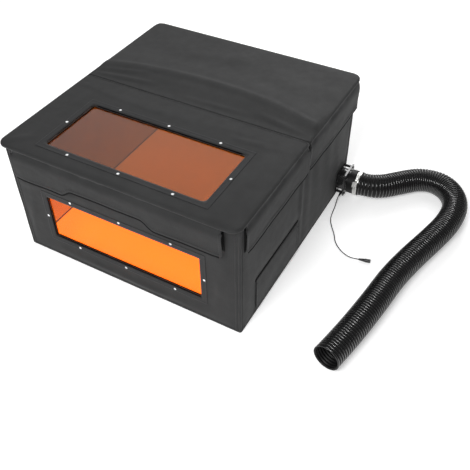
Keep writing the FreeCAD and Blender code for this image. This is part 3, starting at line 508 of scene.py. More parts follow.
def soften_corner(a, b, hole, radius):
    """Moves a point on a hole's edge near its corner onto a round corner."""
    low_a, low_b, high_a, high_b = hole
    corner_a = low_a if a - low_a < high_a - a else high_a
    corner_b = low_b if b - low_b < high_b - b else high_b
    from_a = abs(a - corner_a)
    from_b = abs(b - corner_b)
    if max(from_a, from_b) >= radius or min(from_a, from_b) > 1e-6:
        return a, b
    angle = (1 - max(from_a, from_b) / radius) * math.pi / 4
    far = radius - radius * math.sin(angle)
    near = radius - radius * math.cos(angle)
    move_a, move_b = (far, near) if from_b < 1e-6 else (near, far)
    inward_a = 1 if corner_a == low_a else -1
    inward_b = 1 if corner_b == low_b else -1
    return corner_a + inward_a * move_a, corner_b + inward_b * move_b


def on_hole(a, b, hole):
    """True for a point on a hole's edge."""
    low_a, low_b, high_a, high_b = hole
    inside = low_a - 1e-7 <= a <= high_a + 1e-7 and low_b - 1e-7 <= b <= high_b + 1e-7
    edge = min(abs(a - low_a), abs(a - high_a), abs(b - low_b), abs(b - high_b)) < 1e-7
    return inside and edge


def cloth(name, across, up, surface, holes=(), hole_radius=0.0, shape=None):
    """A grid of cloth. surface turns (a, b) into a point; shape may move (a, b) first."""
    points = []
    for b in up:
        for a in across:
            spot = (a, b)
            for hole in holes:
                if hole_radius and on_hole(a, b, hole):
                    spot = soften_corner(a, b, hole, hole_radius)
            if shape is not None:
                spot = shape(*spot)
            points.append(surface(*spot))
    wide = len(across)
    faces = []
    for row, (low, high) in enumerate(zip(up, up[1:])):
        for column, (left, right) in enumerate(zip(across, across[1:])):
            middle = ((left + right) / 2, (low + high) / 2)
            if not any(hole[0] < middle[0] < hole[2] and hole[1] < middle[1] < hole[3] for hole in holes):
                first = row * wide + column
                faces.append((first, first + 1, first + wide + 1, first + wide))
    used = sorted({index for face in faces for index in face})
    renumber = {old: new for new, old in enumerate(used)}
    return mesh_object(name, [points[old] for old in used],
                       [tuple(renumber[index] for index in face) for face in faces])


def face_outward(piece, direction):
    """Turns a sheet's faces to look along a direction, so that its thickness goes the other way."""
    total = sum((face.normal * face.area for face in piece.data.polygons), Vector())
    if total.dot(Vector(direction)) < 0:
        piece.data.flip_normals()


def finish_sheet(piece, direction, thickness, body, material, slot, *nodes, offset=-1):
    """Turns a sheet to face a direction, thickens it and finishes it."""
    face_outward(piece, direction)
    thicken(piece, thickness, offset)
    finish_piece(piece, body, material, slot, *nodes)


def sweep(name, path, profile, face, closed=False):
    """Sweeps a closed profile of (across, off the face) pairs along a path that lies on a face."""
    count = len(path)
    points = []
    for number, point in enumerate(path):
        before = path[number - 1] if closed or number else path[0]
        after = path[(number + 1) % count] if closed or number < count - 1 else path[-1]
        ahead = (after - before).normalized()
        normal = Vector(face(point) if callable(face) else face)
        across = ahead.cross(normal).normalized()
        off = across.cross(ahead)
        points += [point + across * side + off * lift for side, lift in profile]
    return mesh_object(name, points, ring_faces(count, len(profile), closed))


def rounded(width, height, radius):
    """A profile: a rectangle about the origin with round corners."""
    profile = []
    for sign_x, sign_y, start in ((1, 1, 0), (-1, 1, 90), (-1, -1, 180), (1, -1, 270)):
        for angle in np.radians(np.linspace(start, start + 90, 5)):
            profile.append((sign_x * (width / 2 - radius) + radius * math.cos(angle),
                            sign_y * (height / 2 - radius) + radius * math.sin(angle)))
    return profile


def strip(name, path, size, face, body, material, slot, *nodes, closed=False):
    """A finished cord or tape of (width, height, corner radius) along a path that lies on a face."""
    piece = sweep(name, path, rounded(*size), face, closed)
    return finish_piece(piece, body, material, slot, *nodes)


def lathe(name, profile, start, axis, sides):
    """A turned piece from (radius, distance along the axis) pairs, closed on its axis."""
    side = axis.orthogonal().normalized()
    other = axis.cross(side)
    points = []
    for radius, along in profile:
        for number in range(sides):
            angle = 2 * math.pi * number / sides
            outward = side * math.cos(angle) + other * math.sin(angle)
            points.append(start + axis * along + outward * radius)
    return sharpen(mesh_object(name, points, ring_faces(len(profile), sides)))


def line_at(path):
    """A function that gives the point and the direction at a distance along a polyline, and its length."""
    lengths = [(end - start).length for start, end in zip(path, path[1:])]
    walked = np.concatenate([[0.0], np.cumsum(lengths)])

    def at(distance):
        index = min(len(path) - 2, max(0, int(np.searchsorted(walked, distance)) - 1))
        share = (distance - walked[index]) / lengths[index]
        return path[index].lerp(path[index + 1], share), (path[index + 1] - path[index]).normalized()

    return at, float(walked[-1])


def along_path(path, pitch, closed):
    """Points about a pitch apart along a polyline, each with its direction."""
    at, total = line_at([*path, path[0]] if closed else path)
    count = max(1, int(total / pitch))
    return [at((number + 0.5) * total / count) for number in range(count)]


def stitch_mesh(name, rows, body):
    """Rows of stitches as one piece. A row is (path, normal or function of the point, closed)."""
    points = []
    faces = []
    rings = ((-0.5, 0.25), (-0.3, 0.9), (0.3, 0.9), (0.5, 0.25))
    sides = 6
    for path, normal, closed in rows:
        for place, ahead in along_path(path, STITCH_PITCH, closed):
            high = Vector(normal(place) if callable(normal) else normal).normalized()
            side = ahead.cross(high).normalized()
            faces += ring_faces(len(rings), sides, first=len(points))
            for share, swell in rings:
                for number in range(sides):
                    angle = 2 * math.pi * number / sides
                    offset = side * math.cos(angle) + high * math.sin(angle)
                    points.append(place + ahead * share * STITCH_LENGTH + offset * STITCH_THICK * swell)
    finish_piece(mesh_object(name, points, faces), body, THREAD, "cover_fabric")


# ------------------------ cords

HOSE_POINTS = [
    (0.384, 0.302, 0.046), (0.440, 0.302, 0.046), (0.484, 0.330, 0.041), (0.529, 0.382, 0.0375),
    (0.572, 0.422, 0.0375), (0.626, 0.434, 0.0375), (0.676, 0.408, 0.0375), (0.709, 0.349, 0.0375),
    (0.707, 0.263, 0.0375), (0.682, 0.166, 0.0375), (0.656, 0.078, 0.0375), (0.634, -0.017, 0.0375),
    (0.623, -0.110, 0.0375), (0.609, -0.203, 0.0375), (0.595, -0.279, 0.0375),
    (0.581, -0.343, 0.0375),
]
LEAD_POINTS = [
    (0.370, 0.251, 0.016), (0.370, 0.241, 0.015), (0.372, 0.227, 0.008), (0.375, 0.210, 0.0022),
    (0.378, 0.183, 0.0015), (0.384, 0.153, 0.0015), (0.401, 0.124, 0.0015), (0.420, 0.099, 0.0015),
    (0.433, 0.072, 0.0015), (0.456, 0.049, 0.0015), (0.483, 0.035, 0.0015), (0.503, 0.032, 0.0022),
    (0.521, 0.034, 0.0055),
]
HOSE_RADIUS = 37.0 * MM
HOSE_BORE = 34.6 * MM
RING_PITCH = 8.4 * MM
RIB_RADIUS = 1.6 * MM
HOSE_COLLAR = 30 * MM
LEAD_RADIUS = 1.5 * MM


def smooth_curve(name, points):
    """One open NURBS spline with the points as its control points."""
    data = bpy.data.curves.new(name, "CURVE")
    data.dimensions = "3D"
    data.resolution_u = 32
    spline = data.splines.new("NURBS")
    spline.points.add(len(points) - 1)
    for place, point in zip(spline.points, points):
        place.co = (*point, 1)
    spline.order_u = 3
    spline.use_endpoint_u = True
    curve = bpy.data.objects.new(name, data)
    bpy.context.scene.collection.objects.link(curve)
    return curve


def curve_line(curve):
    """The points of a curve's own line, as an array."""
    mesh = bpy.data.meshes.new_from_object(curve)
    line = np.array([vertex.co for vertex in mesh.vertices], float)
    bpy.data.meshes.remove(mesh)
    return line


def read_along(values, walked, targets):
    """Rows of values, known at distances along a line, read off at other distances."""
    return np.stack([np.interp(targets, walked, column) for column in values.T], axis=1)


def spaced_line(line, pitch):
    """Points a pitch apart along a line, and the length of the line."""
    gaps = np.linalg.norm(np.diff(line, axis=0), axis=1)
    walked = np.concatenate([[0], np.cumsum(gaps)])
    targets = np.linspace(0, walked[-1], max(2, round(walked[-1] / pitch) + 1))
    return read_along(line, walked, targets), walked[-1]


def tube_frames(line):
    """Two directions across a line at each of its points, carried along without twist."""
    tangents = np.gradient(line, axis=0)
    tangents /= np.linalg.norm(tangents, axis=1)[:, None]
    across = np.zeros_like(line)
    current = np.array([0.0, 0.0, 1.0])
    for number, tangent in enumerate(tangents):
        current = current - tangent * current.dot(tangent)
        current /= np.linalg.norm(current)
        across[number] = current
    return across, np.cross(tangents, across)


def make_hose():
    """The duct hose: thin film over a wire spiral, so that each turn stands up as a ring."""
    spine = smooth_curve("hose_spine", HOSE_POINTS)
    line, total = spaced_line(curve_line(spine), RING_PITCH / 10)
    bpy.data.objects.remove(spine)
    across, other = tube_frames(line)
    sides = 56
    count = len(line)
    angles = np.linspace(0, 2 * math.pi, sides, endpoint=False)
    directions = (across[:, None, :] * np.cos(angles)[None, :, None]
                  + other[:, None, :] * np.sin(angles)[None, :, None])
    walked = np.linspace(0, total, count)
    phase = walked[:, None] / RING_PITCH - angles[None, :] / (2 * math.pi)
    wire = (0.5 + 0.5 * np.cos(2 * math.pi * phase)) ** 1.6
    collar = np.clip((walked - HOSE_COLLAR) / (12 * MM), 0, 1)[:, None]
    outer = HOSE_RADIUS + 0.2 * MM - (1.2 + 1.2 * (1 - wire)) * MM * collar
    inner = HOSE_BORE + 0.3 * MM - 2.6 * MM * (1 - wire) * collar
    outer[-1] = HOSE_RADIUS + 0.4 * MM
    inner[-1] = HOSE_RADIUS - 1.4 * MM
    skins = [line[:, None, :] + directions * reach[:, :, None] for reach in (outer, inner)]
    loops = np.concatenate([skins[0], skins[1][::-1]]).transpose(1, 0, 2)
    hose = mesh_object("duct_hose", loops.reshape(-1, 3), ring_faces(sides, 2 * count, closed=True))
    finish_piece(hose, "enclosure", HOSE, "hose_skin", "exhaust_hose")
    end_wire = hose_end_wire(line[-1], directions[-1])
    rib = hose_rib(line, across, other, walked)
    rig.cord(hose, exit=HOSE_POINTS[0], length=1.112, diameter=0.075, far_end="bare", stiffness="stiff",
            lay="loose", path=[tuple(point) for point in line[::10]], with_pieces=[end_wire, rib])


def hose_rib(line, across, other, walked):
    """The wire spiral under its film: one long rib that winds round the hose."""
    turns = (walked[-1] - HOSE_COLLAR - 2 * MM) / RING_PITCH
    theta = np.linspace(0, 2 * math.pi * turns, int(turns * 48))
    place = HOSE_COLLAR + theta / (2 * math.pi) * RING_PITCH
    angle = (theta + 2 * math.pi * HOSE_COLLAR / RING_PITCH)[:, None]
    middle, side, top, ahead = [read_along(values, walked, place)
                                for values in (line, across, other, np.gradient(line, axis=0))]
    out = side * np.cos(angle) + top * np.sin(angle)
    ahead /= np.linalg.norm(ahead, axis=1)[:, None]
    sides = 8
    rings = []
    for turn in np.linspace(0, 2 * math.pi, sides, endpoint=False):
        reach = HOSE_RADIUS - 1.2 * MM + RIB_RADIUS * math.sin(turn)
        rings.append(middle + out * reach + ahead * 1.1 * RIB_RADIUS * math.cos(turn))
    points = np.stack(rings, axis=1).reshape(-1, 3)
    rib = mesh_object("hose_rib", points, ring_faces(len(theta), sides))
    return finish_piece(rib, "enclosure", HOSE_RIB, "hose_skin")


def hose_end_wire(centre, directions):
    """The cut end of the wire spiral, round the open end of the hose."""
    radius = HOSE_RADIUS - 0.6 * MM
    path = [Vector(centre + direction * radius) for direction in directions]
    heading = (path[0] - Vector(centre)).cross(path[10] - Vector(centre)).normalized()
    return strip("hose_end_wire", path, (2.0 * MM, 1.6 * MM, 0.75 * MM), heading, "enclosure",
                 BLACK_STEEL, "hose_skin", closed=True)


def make_lead():
    """The fan's thin lead with its strain relief and its barrel socket."""
    lead = smooth_curve("fan_power_lead", LEAD_POINTS)
    lead.data.bevel_depth = LEAD_RADIUS
    lead.data.bevel_resolution = 6
    lead.data.use_fill_caps = True
    finish_piece(lead, "enclosure", RUBBER, "lead_rubber", "fan_lead")
    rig.cord(lead, exit=LEAD_POINTS[0], length=0.297, diameter=2 * LEAD_RADIUS, far_end="connector",
            stiffness="limp", lay="loose", with_pieces=[make_relief(), make_socket()])


def make_relief():
    """The tapered strain relief, with rings cut round it."""
    low, high = box_of("lead_strain_relief")
    length = high.y - low.y
    wide = (high.x - low.x) / 2
    profile = [(0.2 * MM, 0), (wide * 0.92, 0), (wide, 0.4 * MM), (wide, 3.4 * MM), (wide * 0.93, 4 * MM)]
    for number in range(5):
        start = 4.6 * MM + number * 2.1 * MM
        radius = wide - (wide - 2.1 * MM) * start / length
        profile += [(radius, start), (radius, start + 1.2 * MM), (radius - 0.5 * MM, start + 1.4 * MM),
                    (radius - 0.5 * MM, start + 2.0 * MM)]
    profile += [(2.1 * MM, length - 0.5 * MM), (1.9 * MM, length), (0.2 * MM, length)]
    start = Vector(((low.x + high.x) / 2, high.y, (low.z + high.z) / 2))
    piece = lathe("lead_relief", profile, start, Vector((0, -1, 0)), 32)
    return finish_piece(piece, "enclosure", RUBBER, "lead_rubber", "lead_strain_relief")


def make_socket():
    """The barrel socket on the lead: a tapered grip with ribs, then the barrel with its bore."""
    mount = next(item for item in frame["record"]["mounts"] if item["name"] == "fan_power_socket")
    mouth = Vector(mount["pos_m"])
    axis = Vector(mount["axis"]).normalized()
    start = Vector(LEAD_POINTS[-1])
    length = (mouth - start).dot(axis)
    profile = [(0.2 * MM, 0), (2.1 * MM, 0), (2.4 * MM, 0.5 * MM)]
    for number in range(5):
        place = 2 * MM + number * 3 * MM
        radius = 2.5 * MM + place * 0.13
        profile += [(radius, place), (radius + 0.35 * MM, place + 0.5 * MM),
                    (radius + 0.45 * MM, place + 1.7 * MM), (radius, place + 2.2 * MM)]
    profile += [(5.2 * MM, 18.5 * MM), (5.5 * MM, 20 * MM), (5.5 * MM, length - 0.6 * MM),
                (5.0 * MM, length), (3.1 * MM, length), (2.8 * MM, length - 0.4 * MM),
                (2.8 * MM, length - 10 * MM), (1.3 * MM, length - 10 * MM), (1.2 * MM, length - 2 * MM),
                (0.2 * MM, length - 1.6 * MM)]
    piece = lathe("barrel_socket", profile, start, axis, 40)
    return finish_piece(piece, "enclosure", RUBBER, "lead_rubber", "fan_lead_socket")


make_hose()
make_lead()


# ------------------------ cloth shapes

PANE_MARGIN = 22 * MM
PORT_RIM = 11 * MM
SURROUND = 17.5 * MM
GRID = 5.5 * MM
COARSE_GRID = 1.6 * GRID
FOLD_Y = 10 * MM
LID_ROUND = 28 * MM
LID_EDGE = 4 * MM
LID_LAP = 3.4 * MM
LID_CORNER = LID_ROUND - LID_EDGE + LID_LAP
FAN_HOLE = 31 * MM
CORNER_OUT = Vector((350.6 * MM, 352.6 * MM, 0))
WALL_INSET = 6.6 * MM
TAPE_ROUND = 8 * MM

LEAST_CUT = 0.31
COVER_THICK = 1.1 * MM
LINING_THICK = 0.7 * MM
FLAP_THICK = 1.2 * MM
TAPE_THICK = 1.0 * MM
TAPE_HALF = 30 * MM
FRONT_TAPE_PLACE = 250 * MM
SIDE_TAPE_PLACE = -166 * MM
WALLS = {"front": Vector((0, -1, 0)), "back": Vector((0, 1, 0)),
         "left": Vector((-1, 0, 0)), "right": Vector((1, 0, 0))}
LID_BODIES = {"front": "front_lid", "rear": "enclosure"}


def smooth_step(value, low, high):
    """0 below low, 1 above high, smooth between."""
    share = min(1.0, max(0.0, (value - low) / (high - low)))
    return share * share * (3 - 2 * share)


def crease(a, b, start, end, width, height):
    """A soft ridge from one point to another, fading out towards its ends."""
    run_a = end[0] - start[0]
    run_b = end[1] - start[1]
    length_squared = run_a * run_a + run_b * run_b
    share = ((a - start[0]) * run_a + (b - start[1]) * run_b) / length_squared
    if not -0.3 < share < 1.3:
        return 0.0
    inside = min(1.0, max(0.0, share))
    away = math.hypot(a - start[0] - inside * run_a, b - start[1] - inside * run_b)
    fade = math.sin(math.pi * min(1.0, max(0.0, inside * 0.9 + 0.05)))
    return height * fade * math.exp(-(away / width) ** 2)


def creases(a, b, *folds):
    """Several creases together. Each is (start, end, width, height), all in millimetres."""
    return sum(crease(a / MM, b / MM, *fold) for fold in folds) * MM


def ripple(a, b, seed, size_a, size_b, height):
    """Gentle unevenness, from 0 to a height, of a given size along each direction."""
    value = noise.noise(Vector((a / size_a, b / size_b, seed)))
    return height * (0.5 + 0.5 * max(-1.0, min(1.0, value * 1.3)))


def frame_mask(a, b, hole, margin):
    """0 on and round a window's frame, rising to 1 away from it."""
    low_a, low_b, high_a, high_b = hole
    away_a = max(low_a - a, a - high_a, 0)
    away_b = max(low_b - b, b - high_b, 0)
    return smooth_step(math.hypot(away_a, away_b), margin, margin + 40 * MM)


def grown(hole, margin):
    """A hole with its edges moved out by a margin."""
    low_a, low_b, high_a, high_b = hole
    return low_a - margin, low_b - margin, high_a + margin, high_b + margin


def hole_of(node, first, second, margin):
    """A hole a margin inside a node's box, as (low, low, high, high) along two axes."""
    low, high = box_of(node)
    return grown((low[first], low[second], high[first], high[second]), -margin)


FRONT_WINDOW = hole_of("front_window_pane", 0, 2, PANE_MARGIN)
LID_WINDOW = hole_of("lid_window_pane", 0, 1, PANE_MARGIN)
PORT = hole_of("port_flap", 1, 2, PORT_RIM)
FAN_MIDDLE = sum(box_of("fan_frame"), Vector()) / 2
FOLD_MIDDLE = sum(box_of("fold_piping"), Vector()).y / 2
FAN = (FAN_MIDDLE.y - FAN_HOLE, FAN_MIDDLE.z - FAN_HOLE, FAN_MIDDLE.y + FAN_HOLE, FAN_MIDDLE.z + FAN_HOLE)
WALL_HOLES = {"front": [FRONT_WINDOW], "right": [PORT, FAN], "left": [], "back": []}


def edge_mask(a, b, limits, margin=22 * MM):
    """0 on a panel's edges, rising to 1 inside."""
    low_a, low_b, high_a, high_b = limits
    return smooth_step(min(a - low_a, high_a - a, b - low_b, high_b - b), 0, margin)


def front_wall_relief(x, z):
    """Soft unevenness and a few creases, flat round the window."""
    bulge = ripple(x, z, 3.1, 150 * MM, 80 * MM, 3.4 * MM)
    bulge += creases(x, z, ((262, 30), (322, 260), 15, 3.0), ((-330, 240), (-100, 262), 12, 2.6),
                     ((-250, 30), (220, 24), 12, 2.6), ((-325, 50), (-290, 220), 12, 2.2))
    return bulge * frame_mask(x, z, FRONT_WINDOW, SURROUND)


def side_wall_relief(y, z):
    """Soft upright folds behind the crease where a side wall folds, and a calmer front part."""
    behind = smooth_step(y, -0.03, 0.05)
    fold = math.exp(-((y - FOLD_Y) / (9 * MM)) ** 2)
    bulge = ripple(y, z, 8.4, 75 * MM, 320 * MM, 4.0 * MM) * behind
    bulge += ripple(y, z, 5.2, 150 * MM, 110 * MM, 2.4 * MM) * (1 - behind)
    bulge += creases(y, z, ((-14, 12), (-13, 330), 9, 3.4), ((44, 12), (30, 330), 13, 2.4),
                     ((122, 12), (78, 330), 20, 1.9), ((182, 12), (158, 330), 24, 1.3),
                     ((268, 12), (226, 330), 26, 1.5))
    return bulge * (1 - fold)


def right_wall_relief(y, z):
    """A side wall's folds, flat round the cable port and the fan."""
    flat = frame_mask(y, z, PORT, PORT_RIM) * frame_mask(y, z, FAN, 12 * MM)
    return side_wall_relief(y, z) * flat


def back_wall_relief(x, z):
    """Soft unevenness with two slanting creases."""
    return ripple(x, z, 12.7, 120 * MM, 150 * MM, 3.6 * MM) + creases(
        x, z, ((-260, 50), (-180, 260), 16, 3.0), ((50, 260), (240, 50), 18, 3.2))


def lining_relief(a, b):
    """The small ripples of a lining."""
    return ripple(a, b, 21.3, 55 * MM, 70 * MM, 1.6 * MM)


RELIEFS = {"front": front_wall_relief, "back": back_wall_relief, "left": side_wall_relief,
           "right": right_wall_relief}


def wall_surface(side, layer, lift=0.0):
    """The surface of a wall's cover or lining, as a function of (along the wall, up)."""
    low, high = box_of(f"{side}_wall_{layer}")
    normal = WALLS[side] if layer == "cover" else -WALLS[side]
    depth = 0 if normal.x else 1
    across = 1 - depth
    plane = high[depth] if normal[depth] > 0 else low[depth]
    relief = RELIEFS[side] if layer == "cover" else lining_relief
    limits = (low[across], low.z, high[across], high.z)

    def surface(a, b):
        point = Vector((0, 0, b))
        point[across] = a
        point[depth] = plane + normal[depth] * (lift + relief(a, b) * edge_mask(a, b, limits))
        return point

    return surface, limits, normal


def grid_lines(holes, axis, offsets=(0,)):
    """Places for grid lines along one axis, at offsets in from both edges of each hole."""
    return [place for hole in holes for offset in offsets
            for place in (hole[axis] + offset, hole[axis + 2] - offset)]


def size_of(limits):
    """The width and the length of a rectangle of (low, low, high, high)."""
    return limits[2] - limits[0], limits[3] - limits[1]


def cloth_area(flat, holes):
    """The area of a flat sheet less its holes."""
    return math.prod(flat) - sum(math.prod(size_of(hole)) for hole in holes)


def wall_sheet(side, layer):
    """One wall's outer cover or its silver lining, over the boards between them."""
    surface, limits, normal = wall_surface(side, layer)
    holes = WALL_HOLES[side]
    if layer == "lining" and side == "front":
        holes = [grown(FRONT_WINDOW, PANE_MARGIN)]
    corner = 4 * MM if side == "front" else 0.0
    cuts_a = grid_lines(holes, 0, (0, corner))
    if side in ("left", "right"):
        cuts_a += [FOLD_Y - 6 * MM, FOLD_Y, FOLD_Y + 6 * MM]
    pitch, thick, material, slot = {"cover": (GRID, COVER_THICK, SKIN, "cover_fabric"),
                                    "lining": (COARSE_GRID, LINING_THICK, LINING, "silver_lining")}[layer]
    piece = cloth(f"{side}_wall_{layer}_cloth", steps(limits[0], limits[2], pitch, cuts_a),
                  steps(limits[1], limits[3], pitch, grid_lines(holes, 1, (0, corner))),
                  surface, holes, corner)
    finish_sheet(piece, normal, thick, "enclosure", material, slot, f"{side}_wall_{layer}")
    flat = size_of(limits)
    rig.sheet(piece, flat=flat, held="stretched", rests_on=[f"{side}_wall_{layer}"],
             area=cloth_area(flat, holes))


def turn_in(piece, hole, first, second, move):
    """Turns the cloth round a window's edge in towards the pane."""
    work = bmesh.new()
    work.from_mesh(piece.data)
    near = grown(hole, 14 * MM)

    def inside(vertex):
        return near[0] < vertex.co[first] < near[2] and near[1] < vertex.co[second] < near[3]

    rim = [edge for edge in work.edges if edge.is_boundary and all(inside(end) for end in edge.verts)]
    for made in bmesh.ops.extrude_edge_only(work, edges=rim)["geom"]:
        if isinstance(made, bmesh.types.BMVert):
            made.co += move
    work.to_mesh(piece.data)
    work.free()


def window_surround(name, body, hole, place, normal, depth, corner):
    """The second layer of cloth round a window, hemmed outside and turned in at the window."""
    normal = Vector(normal)
    outer = grown(hole, SURROUND)
    offsets = (0, corner / 3, 2 * corner / 3, corner)
    rims = (0.8 * MM, 1.8 * MM, 2.9 * MM, 3.9 * MM)
    cuts = [grid_lines([hole], axis, offsets) + grid_lines([outer], axis, rims) for axis in (0, 1)]

    def surface(a, b):
        from_edge = min(a - outer[0], outer[2] - a, b - outer[1], outer[3] - b)
        hem = 0.5 * MM * math.exp(-((from_edge - 1.8 * MM) / (1.4 * MM)) ** 2)
        wave = ripple(a, b, 17.0, 60 * MM, 45 * MM, 0.5 * MM)
        return place(a, b) + normal * (0.5 * MM + hem + wave)

    piece = cloth(name, steps(outer[0], outer[2], GRID, cuts[0]), steps(outer[1], outer[3], GRID, cuts[1]),
                  surface, [hole], corner)
    face_outward(piece, normal)
    turn_in(piece, hole, 0, 2 if normal.y else 1, normal * -depth)
    finish_sheet(piece, normal, 0.6 * MM, body, FRAME_CLOTH, "cover_fabric")
    flat = size_of(outer)
    rests = "front_wall_board" if body == "enclosure" else "front_lid_board"
    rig.sheet(piece, flat=flat, held="stretched", rests_on=[rests],
             area=max(LEAST_CUT * math.prod(flat), cloth_area(flat, [hole])))
    rows = []
    for inset in (SURROUND - 2.4 * MM, 3.4 * MM):
        low_a, low_b, high_a, high_b = grown(hole, inset)
        corners = ((low_a, low_b), (high_a, low_b), (high_a, high_b), (low_a, high_b))
        rows.append(([place(*spot) + normal * 0.95 * MM for spot in corners], normal, True))
    stitch_mesh(f"{name}_stitches", rows, body)


# ------------------------ lid

def lid_limits(half):
    """A lid half's cloth, which laps over its padded edge, as (low x, low y, high x, high y)."""
    low, high = box_of(f"{half}_lid_cover")
    if half == "front":
        return low.x - LID_LAP, low.y - LID_LAP, high.x + LID_LAP, high.y
    return low.x - LID_LAP, low.y, high.x + LID_LAP, high.y + LID_LAP


def from_lid_edge(half, x, y):
    """The distance of a point from a lid half's outer edge, which has two round corners."""
    _, low_y, high_x, high_y = lid_limits(half)
    side = high_x - abs(x)
    end = y - low_y if half == "front" else high_y - y
    if side < LID_CORNER and end < LID_CORNER:
        return LID_CORNER - math.hypot(LID_CORNER - side, LID_CORNER - end)
    return min(side, end)


def round_lid(half):
    """Moves points of a lid half's grid so that its two outer corners are round."""
    low_x, low_y, high_x, high_y = lid_limits(half)
    inward = 1 if half == "front" else -1
    middle_y = (low_y if half == "front" else high_y) + inward * LID_CORNER

    def shape(x, y):
        side = 1 if x < 0 else -1
        middle_x = (low_x if x < 0 else high_x) + side * LID_CORNER
        across = (middle_x - x) * side / LID_CORNER
        along = (middle_y - y) * inward / LID_CORNER
        if across <= 0 or along <= 0:
            return x, y
        return (middle_x - side * LID_CORNER * across * math.sqrt(1 - along * along / 2),
                middle_y - inward * LID_CORNER * along * math.sqrt(1 - across * across / 2))
    return shape


def front_lid_relief(x, y):
    """Creases beside the fold and round the window, which stays flat."""
    bulge = ripple(x, y, 30.2, 170 * MM, 110 * MM, 2.6 * MM)
    bulge += creases(x, y, ((-345, -18), (-120, -34), 7, 3.2), ((-345, -40), (-20, -62), 12, 3.4),
                     ((20, -40), (330, -20), 12, 2.8), ((160, -75), (335, -52), 10, 2.2),
                     ((-345, -360), (-270, -300), 13, 2.6), ((275, -310), (310, -90), 15, 2.2))
    return bulge * frame_mask(x, y, LID_WINDOW, SURROUND)


def rear_lid_relief(x, y):
    """A broad soft ridge behind the fold, with a dip between the two."""
    middle = 1 - (x / 0.35) ** 2
    crest = 0.072 + 0.050 * middle
    rise = smooth_step(y, 0.020, crest)
    fall = 1 - smooth_step(y, crest, crest + 0.13)
    bulge = 10 * MM * (0.6 + 0.4 * middle) * rise * fall
    bulge += 5.4 * MM * math.exp(-((y - crest) / (13 * MM)) ** 2)
    bulge += ripple(x, y, 41.7, 150 * MM, 90 * MM, 3.4 * MM) * smooth_step(y, 0.02, 0.1)
    return bulge + creases(
        x, y, ((-345, 24), (-150, 50), 7, 3.8), ((-345, 44), (-190, 84), 7, 3.4),
        ((-340, 70), (-210, 108), 9, 3.0), ((345, 26), (170, 56), 9, 3.2),
        ((-60, 32), (170, 40), 9, 2.2), ((-200, 220), (50, 300), 30, 2.4),
        ((100, 250), (300, 200), 28, 2.2), ((-60, 190), (20, 330), 24, 2.0))


def clear_of_fold(half, y, height):
    """Keeps a lid half's cloth low enough to miss the other half when the lid is folded open."""
    room = (0.034 if half == "front" else 0.140) * abs(y - FOLD_MIDDLE) + 0.05 * MM
    if height <= 0:
        return height
    return height / (1 + (height / room) ** 6) ** (1 / 6)


def lid_sheet(half):
    """The outer cloth of a lid half."""
    limits = lid_limits(half)
    top = box_of(f"{half}_lid_cover")[1].z
    holes = [LID_WINDOW] if half == "front" else []
    relief = front_lid_relief if half == "front" else rear_lid_relief
    corner = 13 * MM
    offsets = (0, corner / 3, 2 * corner / 3, corner)
    rims = (1.2 * MM, 2.6 * MM, 4.2 * MM, 6.5 * MM)
    cuts_x = grid_lines(holes, 0, offsets) + grid_lines([limits], 0, rims)
    cuts_y = grid_lines(holes, 1, offsets)
    cuts_y += [limits[1] + rim if half == "front" else limits[3] - rim for rim in rims]

    def surface(x, y):
        roll = max(0.0, 1 - from_lid_edge(half, x, y) / (6 * MM)) ** 3
        height = clear_of_fold(half, y, relief(x, y) * edge_mask(x, y, limits, margin=15 * MM))
        return Vector((x, y, top + height - 2.6 * MM * roll))

    piece = cloth(f"{half}_lid_cloth", steps(limits[0], limits[2], GRID, cuts_x),
                  steps(limits[1], limits[3], GRID, cuts_y), surface, holes, corner, round_lid(half))
    finish_sheet(piece, (0, 0, 1), COVER_THICK, LID_BODIES[half], SKIN, "cover_fabric", f"{half}_lid_cover")
    flat = size_of(limits)
    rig.sheet(piece, flat=flat, held="stretched", rests_on=[f"{half}_lid_board"],
             area=cloth_area(flat, holes))


def lid_lining(half):
    """The silver lining under a lid half."""
    low, high = box_of(f"{half}_lid_lining")
    limits = (low.x, low.y, high.x, high.y)
    holes = [grown(LID_WINDOW, PANE_MARGIN)] if half == "front" else []
    rounder = round_lid(half)

    def surface(x, y):
        return Vector((x, y, low.z - lining_relief(x, y) * edge_mask(x, y, limits, 16 * MM)))

    def shape(x, y):
        x, y = rounder(x, y)
        return x * 0.99, y

    piece = cloth(f"{half}_lid_lining_cloth", steps(low.x, high.x, COARSE_GRID, grid_lines(holes, 0)),
                  steps(low.y, high.y, COARSE_GRID, grid_lines(holes, 1)), surface, holes, 0.0, shape)
    finish_sheet(piece, (0, 0, -1), LINING_THICK, LID_BODIES[half], LINING, "silver_lining",
                 f"{half}_lid_lining")
    flat = size_of(limits)
    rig.sheet(piece, flat=flat, held="stretched", rests_on=[f"{half}_lid_board"],
             area=cloth_area(flat, holes))


RUN_PITCH = 12 * MM


def bend(centre, radius, start, end, parts=12):
    """Points of an arc in a level plane, from one angle to another, in degrees."""
    angles = [math.radians(start + (end - start) * number / parts) for number in range(parts + 1)]
    return [centre + Vector((radius * math.cos(angle), radius * math.sin(angle), 0)) for angle in angles]


def run(start, end):
    """Points between two places, without the two themselves."""
    count = max(2, round((end - start).length / RUN_PITCH))
    return [start.lerp(end, number / count) for number in range(1, count)]


def whole_run(start, end):
    """Points from one place to another, with the two themselves."""
    return [start, *run(start, end), end]


